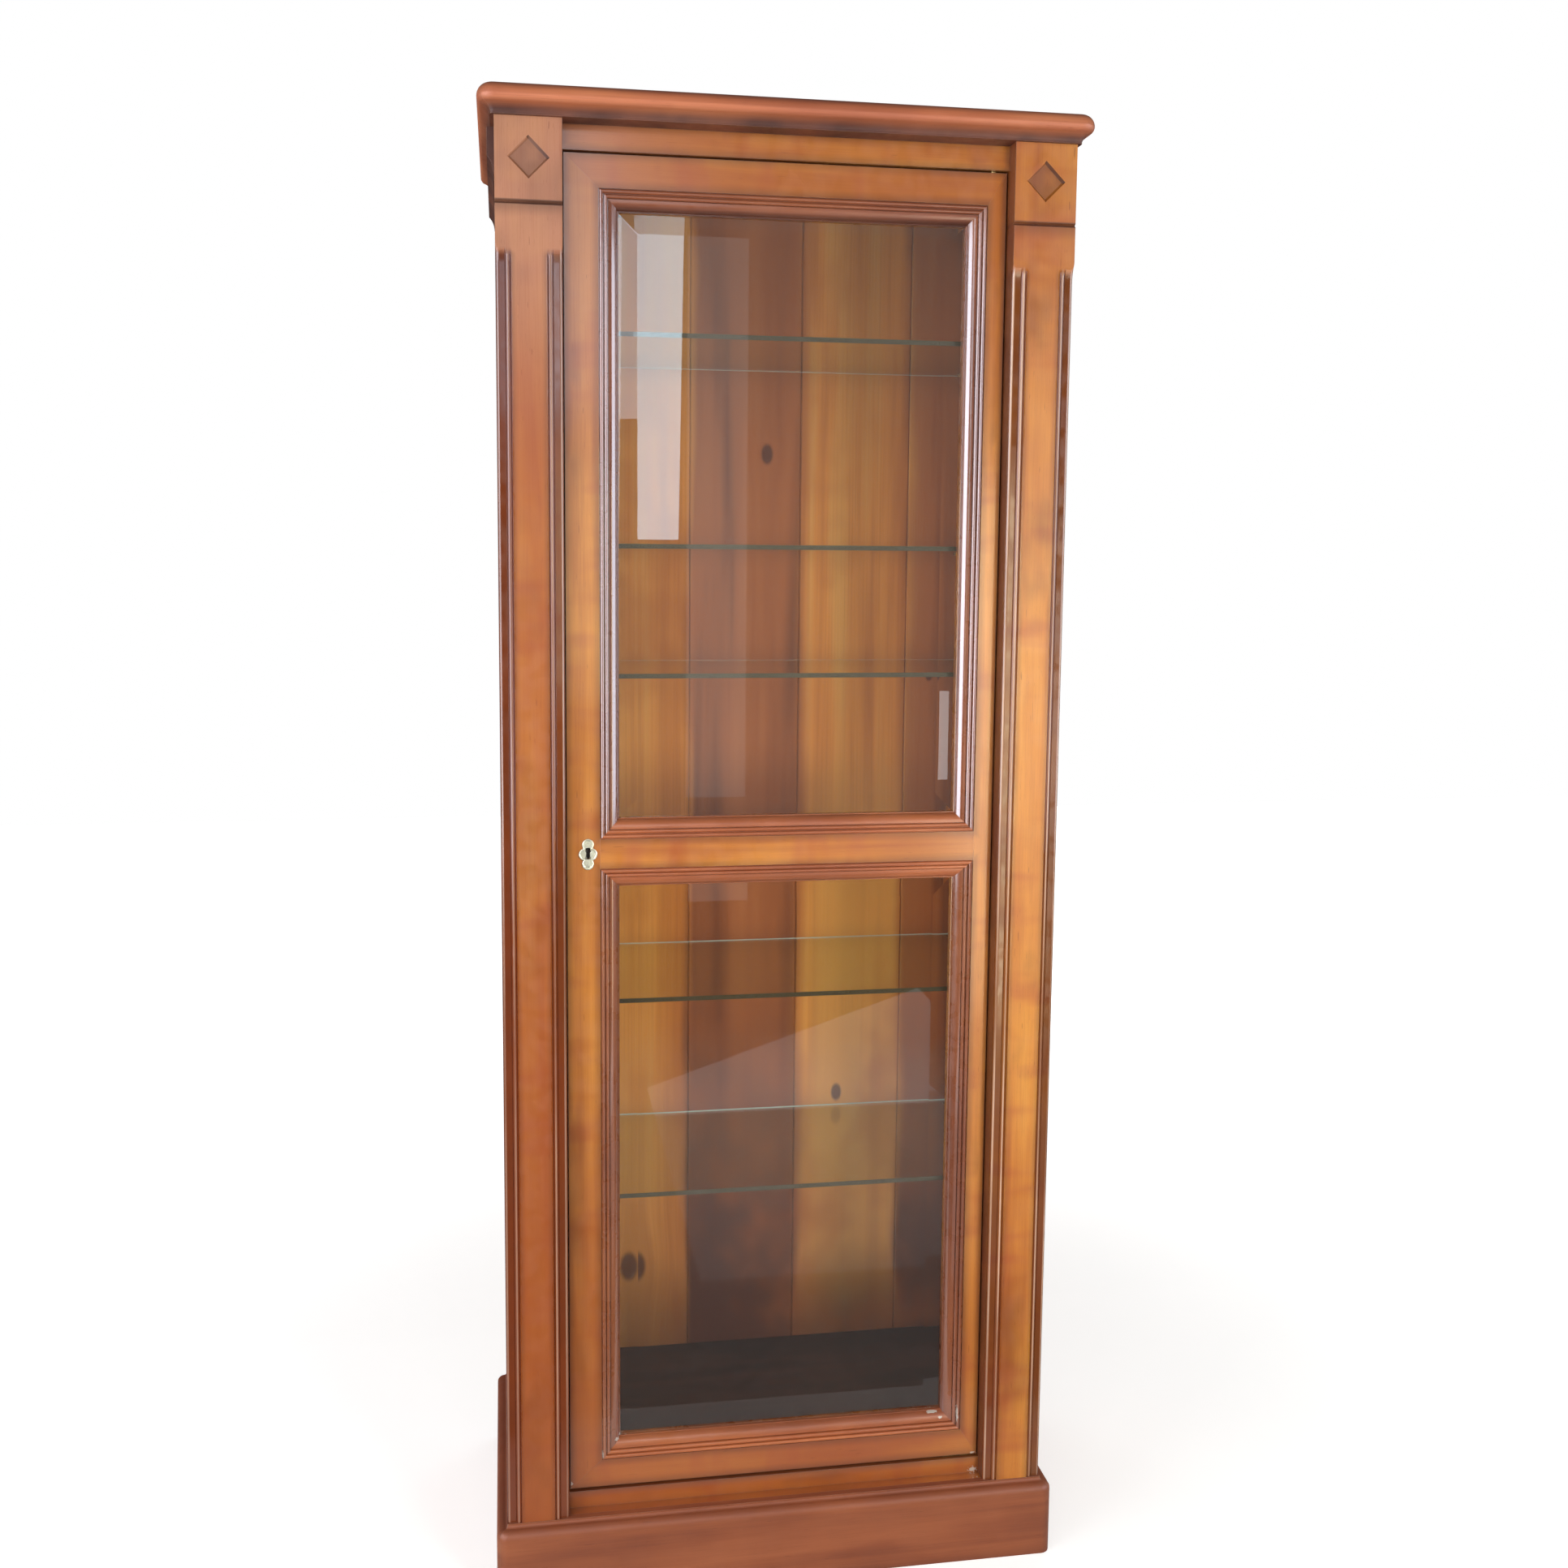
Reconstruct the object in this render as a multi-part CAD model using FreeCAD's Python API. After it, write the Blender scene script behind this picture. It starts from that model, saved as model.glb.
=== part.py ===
import FreeCAD, Part
import math
import os

# One-door glazed display cabinet, in millimetres.
# Origin: middle of the footprint, on the floor. +Z up, the door faces -Y.

# Driving dimensions of the carcase
height = 1900.0
body_width = 720.0
body_depth = 370.0
cornice_overhang = 20.0
pilaster_width = 80.0
pilaster_thickness = 50.0
plinth_height = 103.0
overrun = 5.0

# Cornice, sizes measured out from the body and down from the top
cornice_height = 34.5
cornice_top_round = 15.0
cornice_nose_drop = 22.0
cornice_nose_return = 4.0
cornice_fillet_out = 5.0
cornice_fillet_height = 2.5
cornice_seat = 25.0
top_cover_thickness = 12.0

# Plinth
plinth_overhang = 14.0
plinth_lip = 0.6
plinth_cove = 4.0
plinth_cove_drop = 5.0
plinth_round = 10.0
plinth_seat = 8.0
corner_block_depth = 52.0

# Pilasters
diamond_half = 25.0
diamond_depth = 3.0
diamond_wall = 3.4
diamond_centre_drop = 81.0
groove_drop = 133.0
groove_half_width = 2.2
groove_depth = 2.6
arris_moulding_width = 18.5
arris_side_depth = 7.0
arris_radius = 4.0
arris_band_depth = 3.0
arris_bead_width = 6.2
arris_bead_crown = 0.9
arris_quirk_width = 0.7
arris_outer_quirk_depth = 3.7
arris_inner_quirk_depth = 2.2
arris_run_out_drop = 203.0
arris_run_out_radius = 40.0
arris_run_out_degrees = 40.0

# Rails between the pilasters
frieze_setback = 22.0
frieze_drop = 64.5
sill_setback = 22.0
sill_height = 22.0
sill_foot_height = 20.0
liner_thickness = 10.0
stop_overlap = 10.0
hinge_liner_clearance = 6.0

# Sides
post_size = 45.0
side_rail_thickness = 22.0
side_top_rail_height = 80.0
side_bottom_rail_height = 100.0
side_panel_thickness = 8.0
side_panel_setback = 8.0
panel_tongue = 9.0
groove_clearance = 0.2
side_frieze_thickness = 9.0
side_frieze_height = 33.5
side_frieze_foot = 19.0
side_frieze_toe = 1.5
side_frieze_hollow_shares = (0.32, 0.6)

# Floor, ceiling and back
floor_thickness = 22.0
floor_rise = 13.0
ceiling_thickness = 18.0
back_setback = 18.0
back_board_thickness = 10.0
back_rebate = 12.0
back_board_width = 165.0
back_joint_gap = 0.4
back_joint_chamfer = 1.6
back_edge_clearance = 1.0

# Glass shelves and their pins, tops measured down from the cabinet's top
shelf_1_drop = 270.0
shelf_2_drop = 533.0
shelf_3_drop = 698.0
shelf_4_drop = 1123.0
shelf_5_drop = 1388.0
shelf_thickness = 6.0
shelf_front_setback = 62.0
shelf_back_clearance = 2.0
shelf_side_clearance = 2.0
batten_depth = 25.0
pin_radius = 3.0
pin_seat_length = 8.0
pin_inset = 12.0
pin_tongue_length = 10.0
pin_tongue_width = 9.0
pin_tongue_thickness = 2.0
pin_fit = 0.1

# Door
door_setback = 26.0
door_stop_clearance = 0.5
door_gap = 2.0
lock_stile_flat = 42.0
hinge_stile_flat = 24.0
top_rail_flat = 40.0
bottom_rail_flat = 37.0
mid_rail_flat = 38.0
mid_rail_height = 976.0

# Moulding round each pane, across its width and back from the door's face
moulding_width = 25.0
moulding_proud = 2.0
outer_quirk = 0.8
outer_quirk_depth = 1.2
outer_bead = 4.8
bead_foot = 0.4
inner_bead = 4.8
inner_bead_crown = 0.4
inner_bead_foot = 2.2
valley_width = 0.8
outer_valley_depth = 2.0
inner_valley_depth = 4.5
ovolo_start_depth = 3.2
ovolo_end_depth = 12.0
ovolo_bulge_share = (0.67, 0.31)
sight_fillet = 1.0
moulding_back_depth = 16.5
rebate_lip = 8.0
glass_edge_clearance = 1.0

# Bevelled panes
glass_bed = 0.5
glass_thickness = 4.0
glass_edge_thickness = 2.0
bevel_width = 31.0

# Pivot hinges
pivot_from_edge = 16.0
pivot_from_face = 6.5
leaf_length = 40.0
leaf_width = 9.0
leaf_thickness = 2.0
leaf_end = 9.0
pivot_radius = 2.5
pivot_length = 9.0
pivot_fit = 0.05
pivot_bore_clearance = 0.5
boss_radius = 4.2
boss_clearance = 0.3
leaf_screw_inset = 6.0
leaf_screw_pitch = 12.0

# Lock, keyhole and escutcheon
keyhole_from_edge = 26.5
keyhole_rise = 5.0
keyhole_radius = 3.6
keyhole_slot_width = 4.8
keyhole_slot_length = 11.0
keyhole_clearance = 0.3
lock_case_width = 38.0
lock_case_half_height = 34.0
lock_case_depth = 12.0
lock_wall = 1.5
lock_clearance = 0.2
lock_plate_thickness = 1.2
lock_plate_ear = 9.0
bolt_height = 16.0
bolt_thickness = 6.0
bolt_length = 33.0
bolt_rise = 12.0
bolt_travel = 8.0
bolt_clearance = 0.3
bolt_end_space = 2.0
lobe_radius = 7.5
lobe_rise = 12.4
side_lobe_radius = 8.0
side_lobe_out = 3.8
escutcheon_thickness = 1.2
escutcheon_rim_width = 1.6
escutcheon_rim_height = 0.8
strike_half_height = 26.0
strike_thickness = 1.5
strike_width = 14.0

# Countersunk screws
screw_radius = 1.2
screw_head_radius = 2.4
screw_head_height = 1.4
screw_length = 9.0
screw_slot_width = 0.6
screw_slot_depth = 0.5
screw_fit = 0.02

# Places that follow from the driving dimensions
shelf_drops = {"shelf_1": shelf_1_drop, "shelf_2": shelf_2_drop, "shelf_3": shelf_3_drop,
               "shelf_4": shelf_4_drop, "shelf_5": shelf_5_drop}
half = body_width / 2
face_y = (cornice_overhang - body_depth) / 2
back_y = face_y + body_depth
cornice_z = height - cornice_height
inner_x = half - pilaster_width
pilaster_back_y = face_y + pilaster_thickness
frieze_z = height - frieze_drop
sill_z = plinth_height + sill_height
floor_z = sill_z + floor_rise
floor_front_y = pilaster_back_y + liner_thickness
panel_back_y = back_y - back_setback
post_x = half - post_size
post_y = back_y - post_size
rail_x = half - side_rail_thickness

door_y = face_y + door_setback
door_thickness = pilaster_back_y - door_stop_clearance - door_y
door_x = inner_x - door_gap
door_low = sill_z + door_gap
door_high = frieze_z - door_gap
field_left = -door_x + lock_stile_flat
field_right = door_x - hinge_stile_flat
field_low = door_low + bottom_rail_flat
field_high = door_high - top_rail_flat
mid_low = mid_rail_height - mid_rail_flat / 2
mid_high = mid_rail_height + mid_rail_flat / 2
rebate_width = moulding_width - rebate_lip
glass_edge_y = door_y + moulding_back_depth + glass_bed
glass_back_y = glass_edge_y + glass_edge_thickness

pivot_x = door_x - pivot_from_edge
pivot_y = door_y + pivot_from_face
keyhole_x = -door_x + keyhole_from_edge
lock_front_y = door_y + door_thickness - lock_case_depth
bolt_low = mid_rail_height + bolt_rise
bolt_y = lock_front_y + (lock_case_depth - lock_plate_thickness + lock_wall - bolt_thickness) / 2


# Basic shapes

def point(x, y, z):
    return FreeCAD.Vector(x, y, z)


def box(x0, x1, y0, y1, z0, z1):
    return Part.makeBox(x1 - x0, y1 - y0, z1 - z0, point(x0, y0, z0))


def cylinder(radius, length, base, axis):
    return Part.makeCylinder(radius, length, base, axis)


def outline_face(steps, place):
    """Face inside a closed outline. A step is a point, or the middle and end points of an arc."""
    edges = []
    start = place(*steps[0])
    here = start
    for step in steps[1:]:
        if isinstance(step[0], tuple):
            end = place(*step[1])
            edges.append(Part.Arc(here, place(*step[0]), end).toShape())
        else:
            end = place(*step)
            edges.append(Part.LineSegment(here, end).toShape())
        here = end
    if here.distanceToPoint(start) > 0:
        edges.append(Part.LineSegment(here, start).toShape())
    return Part.Face(Part.Wire(edges))


def flat_face(corners):
    return Part.Face(Part.makePolygon(corners + corners[:1]))


def prism(steps, place, along):
    return outline_face(steps, place).extrude(along)


def plan_prism(steps, z0, z1):
    """Upright solid on an outline seen from above."""
    return prism(steps, lambda x, y: point(x, y, z0), point(0, 0, z1 - z0))


def front_prism(steps, y0, y1):
    """Solid behind an outline seen from the front."""
    return prism(steps, lambda x, z: point(x, y0, z), point(0, y1 - y0, 0))


def mirrored(shape):
    return shape.mirror(point(0, 0, 0), point(1, 0, 0))


def round_middle(centre, radius, degrees):
    angle = math.radians(degrees)
    return (centre[0] + radius * math.cos(angle), centre[1] + radius * math.sin(angle))


def save(name, *solids):
    """One STEP file for one node, with each piece of it as its own solid."""
    shape = solids[0] if len(solids) == 1 else Part.makeCompound(list(solids))
    shape.exportStep("parts/" + name + ".step")


# Mitred mouldings that go round the front and sides of the body

def front_moulding(steps, seat, z0, z1):
    """Front run with half of each rounded corner, and its seat behind the body's face."""
    run = prism(steps, lambda out, z: point(-half, face_y - out, z), point(body_width, 0, 0))
    turn = outline_face(steps, lambda out, z: point(half, face_y - out, z))
    turn = turn.revolve(point(half, face_y, 0), point(0, 0, 1), 45)
    seat_bar = plan_prism([(-half, face_y), (half, face_y), (half - seat, face_y + seat),
                           (seat - half, face_y + seat)], z0, z1)
    return run.fuse([turn, mirrored(turn), seat_bar]).removeSplitter()


def side_moulding(steps, seat, z0, z1):
    """Right-hand run back to the wall, with the other half of the rounded corner."""
    run = prism(steps, lambda out, z: point(half + out, face_y, z), point(0, body_depth, 0))
    turn = outline_face(steps, lambda out, z: point(half + out, face_y, z))
    turn = turn.revolve(point(half, face_y, 0), point(0, 0, 1), -45)
    seat_bar = plan_prism([(half, face_y), (half, back_y), (half - seat, back_y),
                           (half - seat, face_y + seat)], z0, z1)
    return run.fuse([turn, seat_bar]).removeSplitter()


def make_cornice():
    """Large round nose over a hollow, with a small fillet at its foot."""
    nose_top = cornice_overhang - cornice_top_round
    nose_z = height - cornice_top_round
    low_out = cornice_overhang - cornice_nose_return
    low_z = height - cornice_nose_drop
    fillet_z = cornice_z + cornice_fillet_height
    hollow = ((cornice_fillet_out + low_out) / 2 - cornice_fillet_height / 2,
              (fillet_z + low_z) / 2 + cornice_fillet_height / 2)
    nose_low = (cornice_overhang - cornice_nose_return / 4, (nose_z + low_z) / 2)
    steps = [(0, cornice_z), (0, height), (nose_top, height),
             (round_middle((nose_top, nose_z), cornice_top_round, 45), (cornice_overhang, nose_z)),
             (nose_low, (low_out, low_z)),
             (hollow, (cornice_fillet_out, fillet_z)),
             (cornice_fillet_out, cornice_z)]
    right = side_moulding(steps, cornice_seat, cornice_z, height)
    save("cornice_front", front_moulding(steps, cornice_seat, cornice_z, height))
    save("cornice_right", right)
    save("cornice_left", mirrored(right))
    inside = half - cornice_seat
    save("top_cover", box(-inside, inside, face_y + cornice_seat, back_y,
                          height - top_cover_thickness, height))


def make_plinth():
    """Plain board with a cove and a round along its top edge."""
    shoulder_z = plinth_height - plinth_cove_drop
    round_centre = (plinth_overhang - plinth_round, shoulder_z - plinth_round)
    cove_middle = (plinth_lip + (plinth_cove - plinth_lip) / 4, plinth_height - plinth_cove_drop * 3 / 4)
    steps = [(0, 0), (0, plinth_height), (plinth_lip, plinth_height),
             (cove_middle, (plinth_cove, shoulder_z)),
             (round_middle(round_centre, plinth_round, 45), (plinth_overhang, shoulder_z - plinth_round)),
             (plinth_overhang, 0)]
    right = side_moulding(steps, plinth_seat, 0, plinth_height)
    save("plinth_front", front_moulding(steps, plinth_seat, 0, plinth_height))
    save("plinth_right", right)
    save("plinth_left", mirrored(right))
    block = box(inner_x, half - plinth_seat, face_y + plinth_seat,
                face_y + plinth_seat + corner_block_depth, 0, plinth_height)
    save("corner_blocks", block, mirrored(block))


# Pilasters

def arris_steps():
    """Moulded arris, seen from above: distance in from the side, depth behind the face."""
    bead_end = arris_moulding_width - arris_quirk_width
    bead_start = bead_end - arris_bead_width
    bead_middle = (bead_start + bead_end) / 2
    arris = round_middle((arris_radius, arris_side_depth), arris_radius, 225)
    return [(-overrun, -overrun), (-overrun, arris_side_depth), (0, arris_side_depth),
            (arris, (arris_radius, arris_band_depth)),
            (bead_start - arris_quirk_width, arris_band_depth),
            (bead_start, arris_outer_quirk_depth),
            ((bead_middle, arris_bead_crown), (bead_end, arris_inner_quirk_depth)),
            (arris_moulding_width, 0),
            (arris_moulding_width, -overrun)]


def arris_cutter(side_x, inward):
    """What is cut from one front arris. At its upper end the cut leaves the wood on an arc."""
    end_z = height - arris_run_out_drop

    def place(into, depth):
        return point(side_x + inward * into, face_y + depth, end_z)

    straight = prism(arris_steps(), place, point(0, 0, plinth_height - overrun - end_z))
    run_out = outline_face(arris_steps(), place)
    run_out = run_out.revolve(place(0, -arris_run_out_radius), point(1, 0, 0), arris_run_out_degrees)
    return straight.fuse(run_out)


def diamond_cutter(middle_x, middle_z):
    """Sunk diamond with sloping walls, which go on widening in front of the face."""
    outlines = []
    for depth in (-overrun, diamond_depth):
        size = diamond_half - diamond_wall * depth / diamond_depth
        outlines.append([point(middle_x + x, face_y + depth, middle_z + z)
                         for x, z in ((0, size), (size, 0), (0, -size), (-size, 0))])
    wide, narrow = outlines
    faces = [flat_face(wide), flat_face(narrow)]
    for index in range(len(wide)):
        faces.append(flat_face([wide[index - 1], wide[index], narrow[index], narrow[index - 1]]))
    return Part.makeSolid(Part.makeShell(faces))


def make_pilaster():
    """Right-hand pilaster with its diamond, groove and moulded arrises."""
    solid = box(inner_x, half, face_y, pilaster_back_y, plinth_height, cornice_z)
    diamond = diamond_cutter(half - pilaster_width / 2, height - diamond_centre_drop)
    groove_z = height - groove_drop
    groove = prism([(0, groove_z - groove_half_width), (groove_depth, groove_z),
                    (0, groove_z + groove_half_width)],
                   lambda depth, z: point(inner_x, face_y + depth, z), point(pilaster_width, 0, 0))
    cutters = [diamond, groove, arris_cutter(half, -1), arris_cutter(inner_x, 1), side_panel_room()]
    return solid.cut(cutters)


# Sides

def side_panel_box(grow):
    """Right-hand panel, grown by a clearance for the groove that it stands in."""
    outer = half - side_panel_setback
    return box(outer - side_panel_thickness - grow, outer + grow,
               pilaster_back_y - panel_tongue - grow, post_y + panel_tongue + grow,
               plinth_height + side_bottom_rail_height - panel_tongue - grow,
               cornice_z - side_top_rail_height + panel_tongue + grow)


def side_panel_room():
    return side_panel_box(groove_clearance)


def make_side():
    """Posts, rails, panel and frieze moulding of both sides."""
    post = box(post_x, half, post_y, back_y, 0, cornice_z)
    rebate = box(post_x, post_x + back_rebate, panel_back_y, back_y, floor_z - floor_thickness,
                 cornice_z)
    notch = box(half - plinth_seat, half, post_y, back_y, 0, plinth_height)
    rear_pins = [pin_bore(1, post_y + pin_inset, name) for name in shelf_drops]
    post = post.cut([rebate, notch, side_panel_room()] + rear_pins)
    top_rail = box(rail_x, half, pilaster_back_y, post_y, cornice_z - side_top_rail_height, cornice_z)
    low_rail = box(rail_x, half, pilaster_back_y, post_y, plinth_height,
                   plinth_height + side_bottom_rail_height)
    top_rail = top_rail.cut(side_panel_room())
    low_rail = low_rail.cut(side_panel_room())
    shoulder_z = cornice_z - side_frieze_height
    foot_z = shoulder_z - side_frieze_foot
    hollow = (side_frieze_toe + (side_frieze_thickness - side_frieze_toe) * side_frieze_hollow_shares[0],
              foot_z + side_frieze_foot * side_frieze_hollow_shares[1])
    frieze = prism([(0, cornice_z), (side_frieze_thickness, cornice_z),
                    (side_frieze_thickness, shoulder_z), (hollow, (side_frieze_toe, foot_z)),
                    (0, foot_z)],
                   lambda out, z: point(half + out, pilaster_back_y, z),
                   point(0, back_y - pilaster_back_y, 0))
    pieces = {"rear_post": post, "side_top_rail": top_rail, "side_bottom_rail": low_rail,
              "side_panel": side_panel_box(0), "side_frieze": frieze}
    for name, piece in pieces.items():
        save(name + "_right", piece)
        save(name + "_left", mirrored(piece))


# Front rails, liners, floor, ceiling and back

def make_front_rails():
    frieze = box(-inner_x, inner_x, face_y + frieze_setback, pilaster_back_y, frieze_z, cornice_z)
    sill = box(-inner_x, inner_x, face_y + sill_setback, floor_front_y, plinth_height, sill_z)
    foot = box(-inner_x, inner_x, face_y + plinth_seat, floor_front_y,
               plinth_height - sill_foot_height, plinth_height)
    sill = sill.fuse(foot).removeSplitter()
    save("frieze_rail", frieze.cut(leaf_room(frieze_z, 1)))
    save("bottom_rail", sill.cut(leaf_room(sill_z, -1)))


def make_liners():
    """Boards behind the pilasters. The one on the lock side stands proud, as the door's stop."""
    ceiling_z = frieze_z
    stop_edge = -door_x + stop_overlap
    save("lock_side_stop", box(-rail_x, stop_edge, pilaster_back_y, floor_front_y,
                               sill_z, ceiling_z))
    save("hinge_side_liner", box(door_x + hinge_liner_clearance, rail_x, pilaster_back_y, floor_front_y,
                                 sill_z, ceiling_z))


def board_with_post_notches(y0, z0, z1):
    board = box(-rail_x, rail_x, y0, panel_back_y, z0, z1)
    notch = box(post_x, rail_x, post_y, panel_back_y, z0, z1)
    return board.cut([notch, mirrored(notch)])


def shelf_batten():
    """Right-hand upright that carries the front shelf pins, let down through the floor board."""
    return box(post_x, rail_x, floor_front_y, floor_front_y + batten_depth,
               floor_z - floor_thickness, frieze_z)


def make_floor():
    board = board_with_post_notches(floor_front_y, floor_z - floor_thickness, floor_z)
    save("floor_board", board.cut([shelf_batten(), mirrored(shelf_batten())]))


def make_back():
    """Five upright boards with chamfered joints, in the rebates of the rear posts."""
    edge = post_x + back_rebate - back_edge_clearance
    inner = back_board_width / 2
    outer = inner + back_board_width
    marks = [-edge, -outer, -inner, inner, outer, edge]
    rear_y = panel_back_y + back_board_thickness
    boards = []
    for left, right in zip(marks[:-1], marks[1:]):
        x0 = left + back_joint_gap / 2
        x1 = right - back_joint_gap / 2
        steps = [(x0 + back_joint_chamfer, panel_back_y), (x1 - back_joint_chamfer, panel_back_y),
                 (x1, panel_back_y + back_joint_chamfer), (x1, rear_y), (x0, rear_y),
                 (x0, panel_back_y + back_joint_chamfer)]
        boards.append(plan_prism(steps, floor_z - floor_thickness, height - top_cover_thickness))
    save("back_boards", *boards)


# Shelves

def pin_z(name):
    return height - shelf_drops[name] - shelf_thickness - pin_tongue_thickness


def pin_bore(side, y, name):
    """Hole for one shelf pin, from the inner face of a post or batten outwards."""
    base = point(side * (post_x - overrun), y, pin_z(name) - pin_radius + pin_tongue_thickness)
    return cylinder(pin_radius + pin_fit, pin_seat_length + overrun + pin_fit, base, point(side, 0, 0))


def shelf_pin(side, y, name):
    """Round shank in its hole, with a flat tongue that the shelf lies on."""
    top = pin_z(name) + pin_tongue_thickness
    shank = cylinder(pin_radius, pin_seat_length, point(side * post_x, y, top - pin_radius),
                     point(side, 0, 0))
    tongue_x = sorted([side * post_x, side * (post_x - pin_tongue_length)])
    tongue = box(tongue_x[0], tongue_x[1], y - pin_tongue_width / 2, y + pin_tongue_width / 2,
                 top - pin_tongue_thickness, top)
    return shank.fuse(tongue).removeSplitter()


def make_shelves():
    front = face_y + shelf_front_setback
    side = post_x - shelf_side_clearance
    front_pin_y = floor_front_y + pin_inset
    rear_pin_y = post_y + pin_inset
    pins = []
    for name, drop in shelf_drops.items():
        top = height - drop
        save(name, box(-side, side, front, panel_back_y - shelf_back_clearance,
                       top - shelf_thickness, top))
        for hand in (-1, 1):
            pins.append(shelf_pin(hand, front_pin_y, name))
            pins.append(shelf_pin(hand, rear_pin_y, name))
    save("shelf_pins", *pins)
    batten = shelf_batten().cut([pin_bore(1, front_pin_y, name) for name in shelf_drops])
    save("shelf_battens", batten, mirrored(batten))


# Screws

def screw_body(head, axis, grow):
    """Countersunk head and shank, with the head's outer face at head, driven along axis."""
    cone = Part.makeCone(screw_head_radius + grow, screw_radius + grow, screw_head_height, head, axis)
    return cone.fuse(cylinder(screw_radius + grow, screw_length, head, axis))


def screw(head, axis):
    slot_axis = point(0, 0, 1) if axis.z == 0 else point(0, 1, 0)
    cross = axis.cross(slot_axis)
    reach = screw_head_radius
    base = head - cross * (screw_slot_width / 2) - slot_axis * reach
    slot = Part.Face(Part.makePolygon([base, base + cross * screw_slot_width,
                                       base + cross * screw_slot_width + slot_axis * (reach + reach),
                                       base + slot_axis * (reach + reach), base]))
    return screw_body(head, axis, 0).cut(slot.extrude(axis * screw_slot_depth))


# Pivot hinges at the top and bottom of the hinge stile

def leaf_box(plane_z, side, length_side):
    """Flat leaf let in flush behind a horizontal face. side is +1 when the wood is above it."""
    low, high = sorted([plane_z, plane_z + side * leaf_thickness])
    half_width = leaf_width / 2
    return box(pivot_x + leaf_end - length_side, pivot_x + leaf_end, pivot_y - half_width,
               pivot_y + half_width, low, high)


def leaf_screw_heads(plane_z):
    first = pivot_x + leaf_end - leaf_length + leaf_screw_inset
    return [point(first + step * leaf_screw_pitch, pivot_y, plane_z) for step in (0, 1)]


def leaf_room(plane_z, side):
    """Recess and screw holes for one leaf."""
    axis = point(0, 0, side)
    holes = [screw_body(head, axis, screw_fit) for head in leaf_screw_heads(plane_z)]
    return [leaf_box(plane_z, side, leaf_length)] + holes


def door_leaf_room(plane_z, side):
    """The same for the door, with the bore that the pivot turns in."""
    bore = cylinder(pivot_radius + pivot_bore_clearance, pivot_length + pivot_bore_clearance,
                    point(pivot_x, pivot_y, plane_z), point(0, 0, side))
    return leaf_room(plane_z, side) + [bore]


def fixed_leaf(plane_z, side):
    """Leaf on the frame, with its boss and pivot that reach across the gap into the door."""
    axis = point(0, 0, -side)
    centre = point(pivot_x, pivot_y, plane_z)
    leaf = leaf_box(plane_z, side, leaf_length)
    boss = cylinder(boss_radius, door_gap - boss_clearance, centre, axis)
    pivot = cylinder(pivot_radius, door_gap + pivot_length, centre, axis)
    holes = [screw_body(head, point(0, 0, side), screw_fit) for head in leaf_screw_heads(plane_z)]
    return leaf.fuse([boss, pivot]).cut(holes)


def door_leaf(plane_z, side):
    """Leaf on the door, with the hole that turns on the pivot."""
    axis = point(0, 0, side)
    hole = cylinder(pivot_radius + pivot_fit, leaf_thickness, point(pivot_x, pivot_y, plane_z), axis)
    holes = [screw_body(head, axis, screw_fit) for head in leaf_screw_heads(plane_z)]
    return leaf_box(plane_z, side, leaf_length).cut([hole] + holes)


def make_hinges():
    save("hinge_frame_leaves", fixed_leaf(frieze_z, 1), fixed_leaf(sill_z, -1))
    save("hinge_door_leaves", door_leaf(door_high, -1), door_leaf(door_low, 1))


# Lock

def keyhole(y0, y1, grow):
    """Round hole over a slot, cut from front to back."""
    centre_z = mid_rail_height + keyhole_rise
    hole = cylinder(keyhole_radius + grow, y1 - y0, point(keyhole_x, y0, centre_z), point(0, 1, 0))
    slot_half = keyhole_slot_width / 2 + grow
    slot = box(keyhole_x - slot_half, keyhole_x + slot_half, y0, y1,
               centre_z - keyhole_slot_length - grow, centre_z)
    return hole.fuse(slot)


def bolt_box(grow, x0, x1):
    return box(x0, x1, bolt_y - grow, bolt_y + bolt_thickness + grow,
               bolt_low - grow, bolt_low + bolt_height + grow)


def lock_plate_box(grow):
    y1 = door_y + door_thickness
    reach = lock_case_half_height + lock_plate_ear + grow
    return box(-door_x, -door_x + lock_case_width + grow, y1 - lock_plate_thickness, y1,
               mid_rail_height - reach, mid_rail_height + reach)


def lock_case_box(inset):
    """Outside of the case, or a smaller box inside it."""
    return box(-door_x + inset, -door_x + lock_case_width - inset, lock_front_y + inset,
               door_y + door_thickness - lock_plate_thickness,
               mid_rail_height - lock_case_half_height + inset,
               mid_rail_height + lock_case_half_height - inset)


def lock_screw_heads():
    y = door_y + door_thickness
    x = -door_x + lock_case_width / 2
    rise = lock_case_half_height + lock_plate_ear / 2
    return [point(x, y, mid_rail_height - rise), point(x, y, mid_rail_height + rise)]


def lock_room():
    """What the lock takes out of the stile."""
    forward = point(0, -1, 0)
    holes = [screw_body(head, forward, screw_fit) for head in lock_screw_heads()]
    case = lock_case_box(0)
    grown = box(-door_x, -door_x + lock_case_width + lock_clearance, lock_front_y - lock_clearance,
                door_y + door_thickness, mid_rail_height - lock_case_half_height - lock_clearance,
                mid_rail_height + lock_case_half_height + lock_clearance)
    hole = keyhole(door_y, lock_front_y, keyhole_clearance)
    return [case.fuse(grown), lock_plate_box(lock_clearance), hole] + holes


def strike_box(grow):
    centre_y = bolt_y + bolt_thickness / 2
    middle_z = bolt_low + bolt_height / 2
    return box(-inner_x - strike_thickness, -inner_x, centre_y - strike_width / 2 + grow,
               min(centre_y + strike_width / 2, pilaster_back_y - strike_thickness) - grow,
               middle_z - strike_half_height, middle_z + strike_half_height)


def strike_screw_heads():
    middle_z = bolt_low + bolt_height / 2
    rise = (strike_half_height + bolt_height / 2) / 2
    return [point(-inner_x, bolt_y + bolt_thickness / 2, middle_z + rise * hand) for hand in (-1, 1)]


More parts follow.
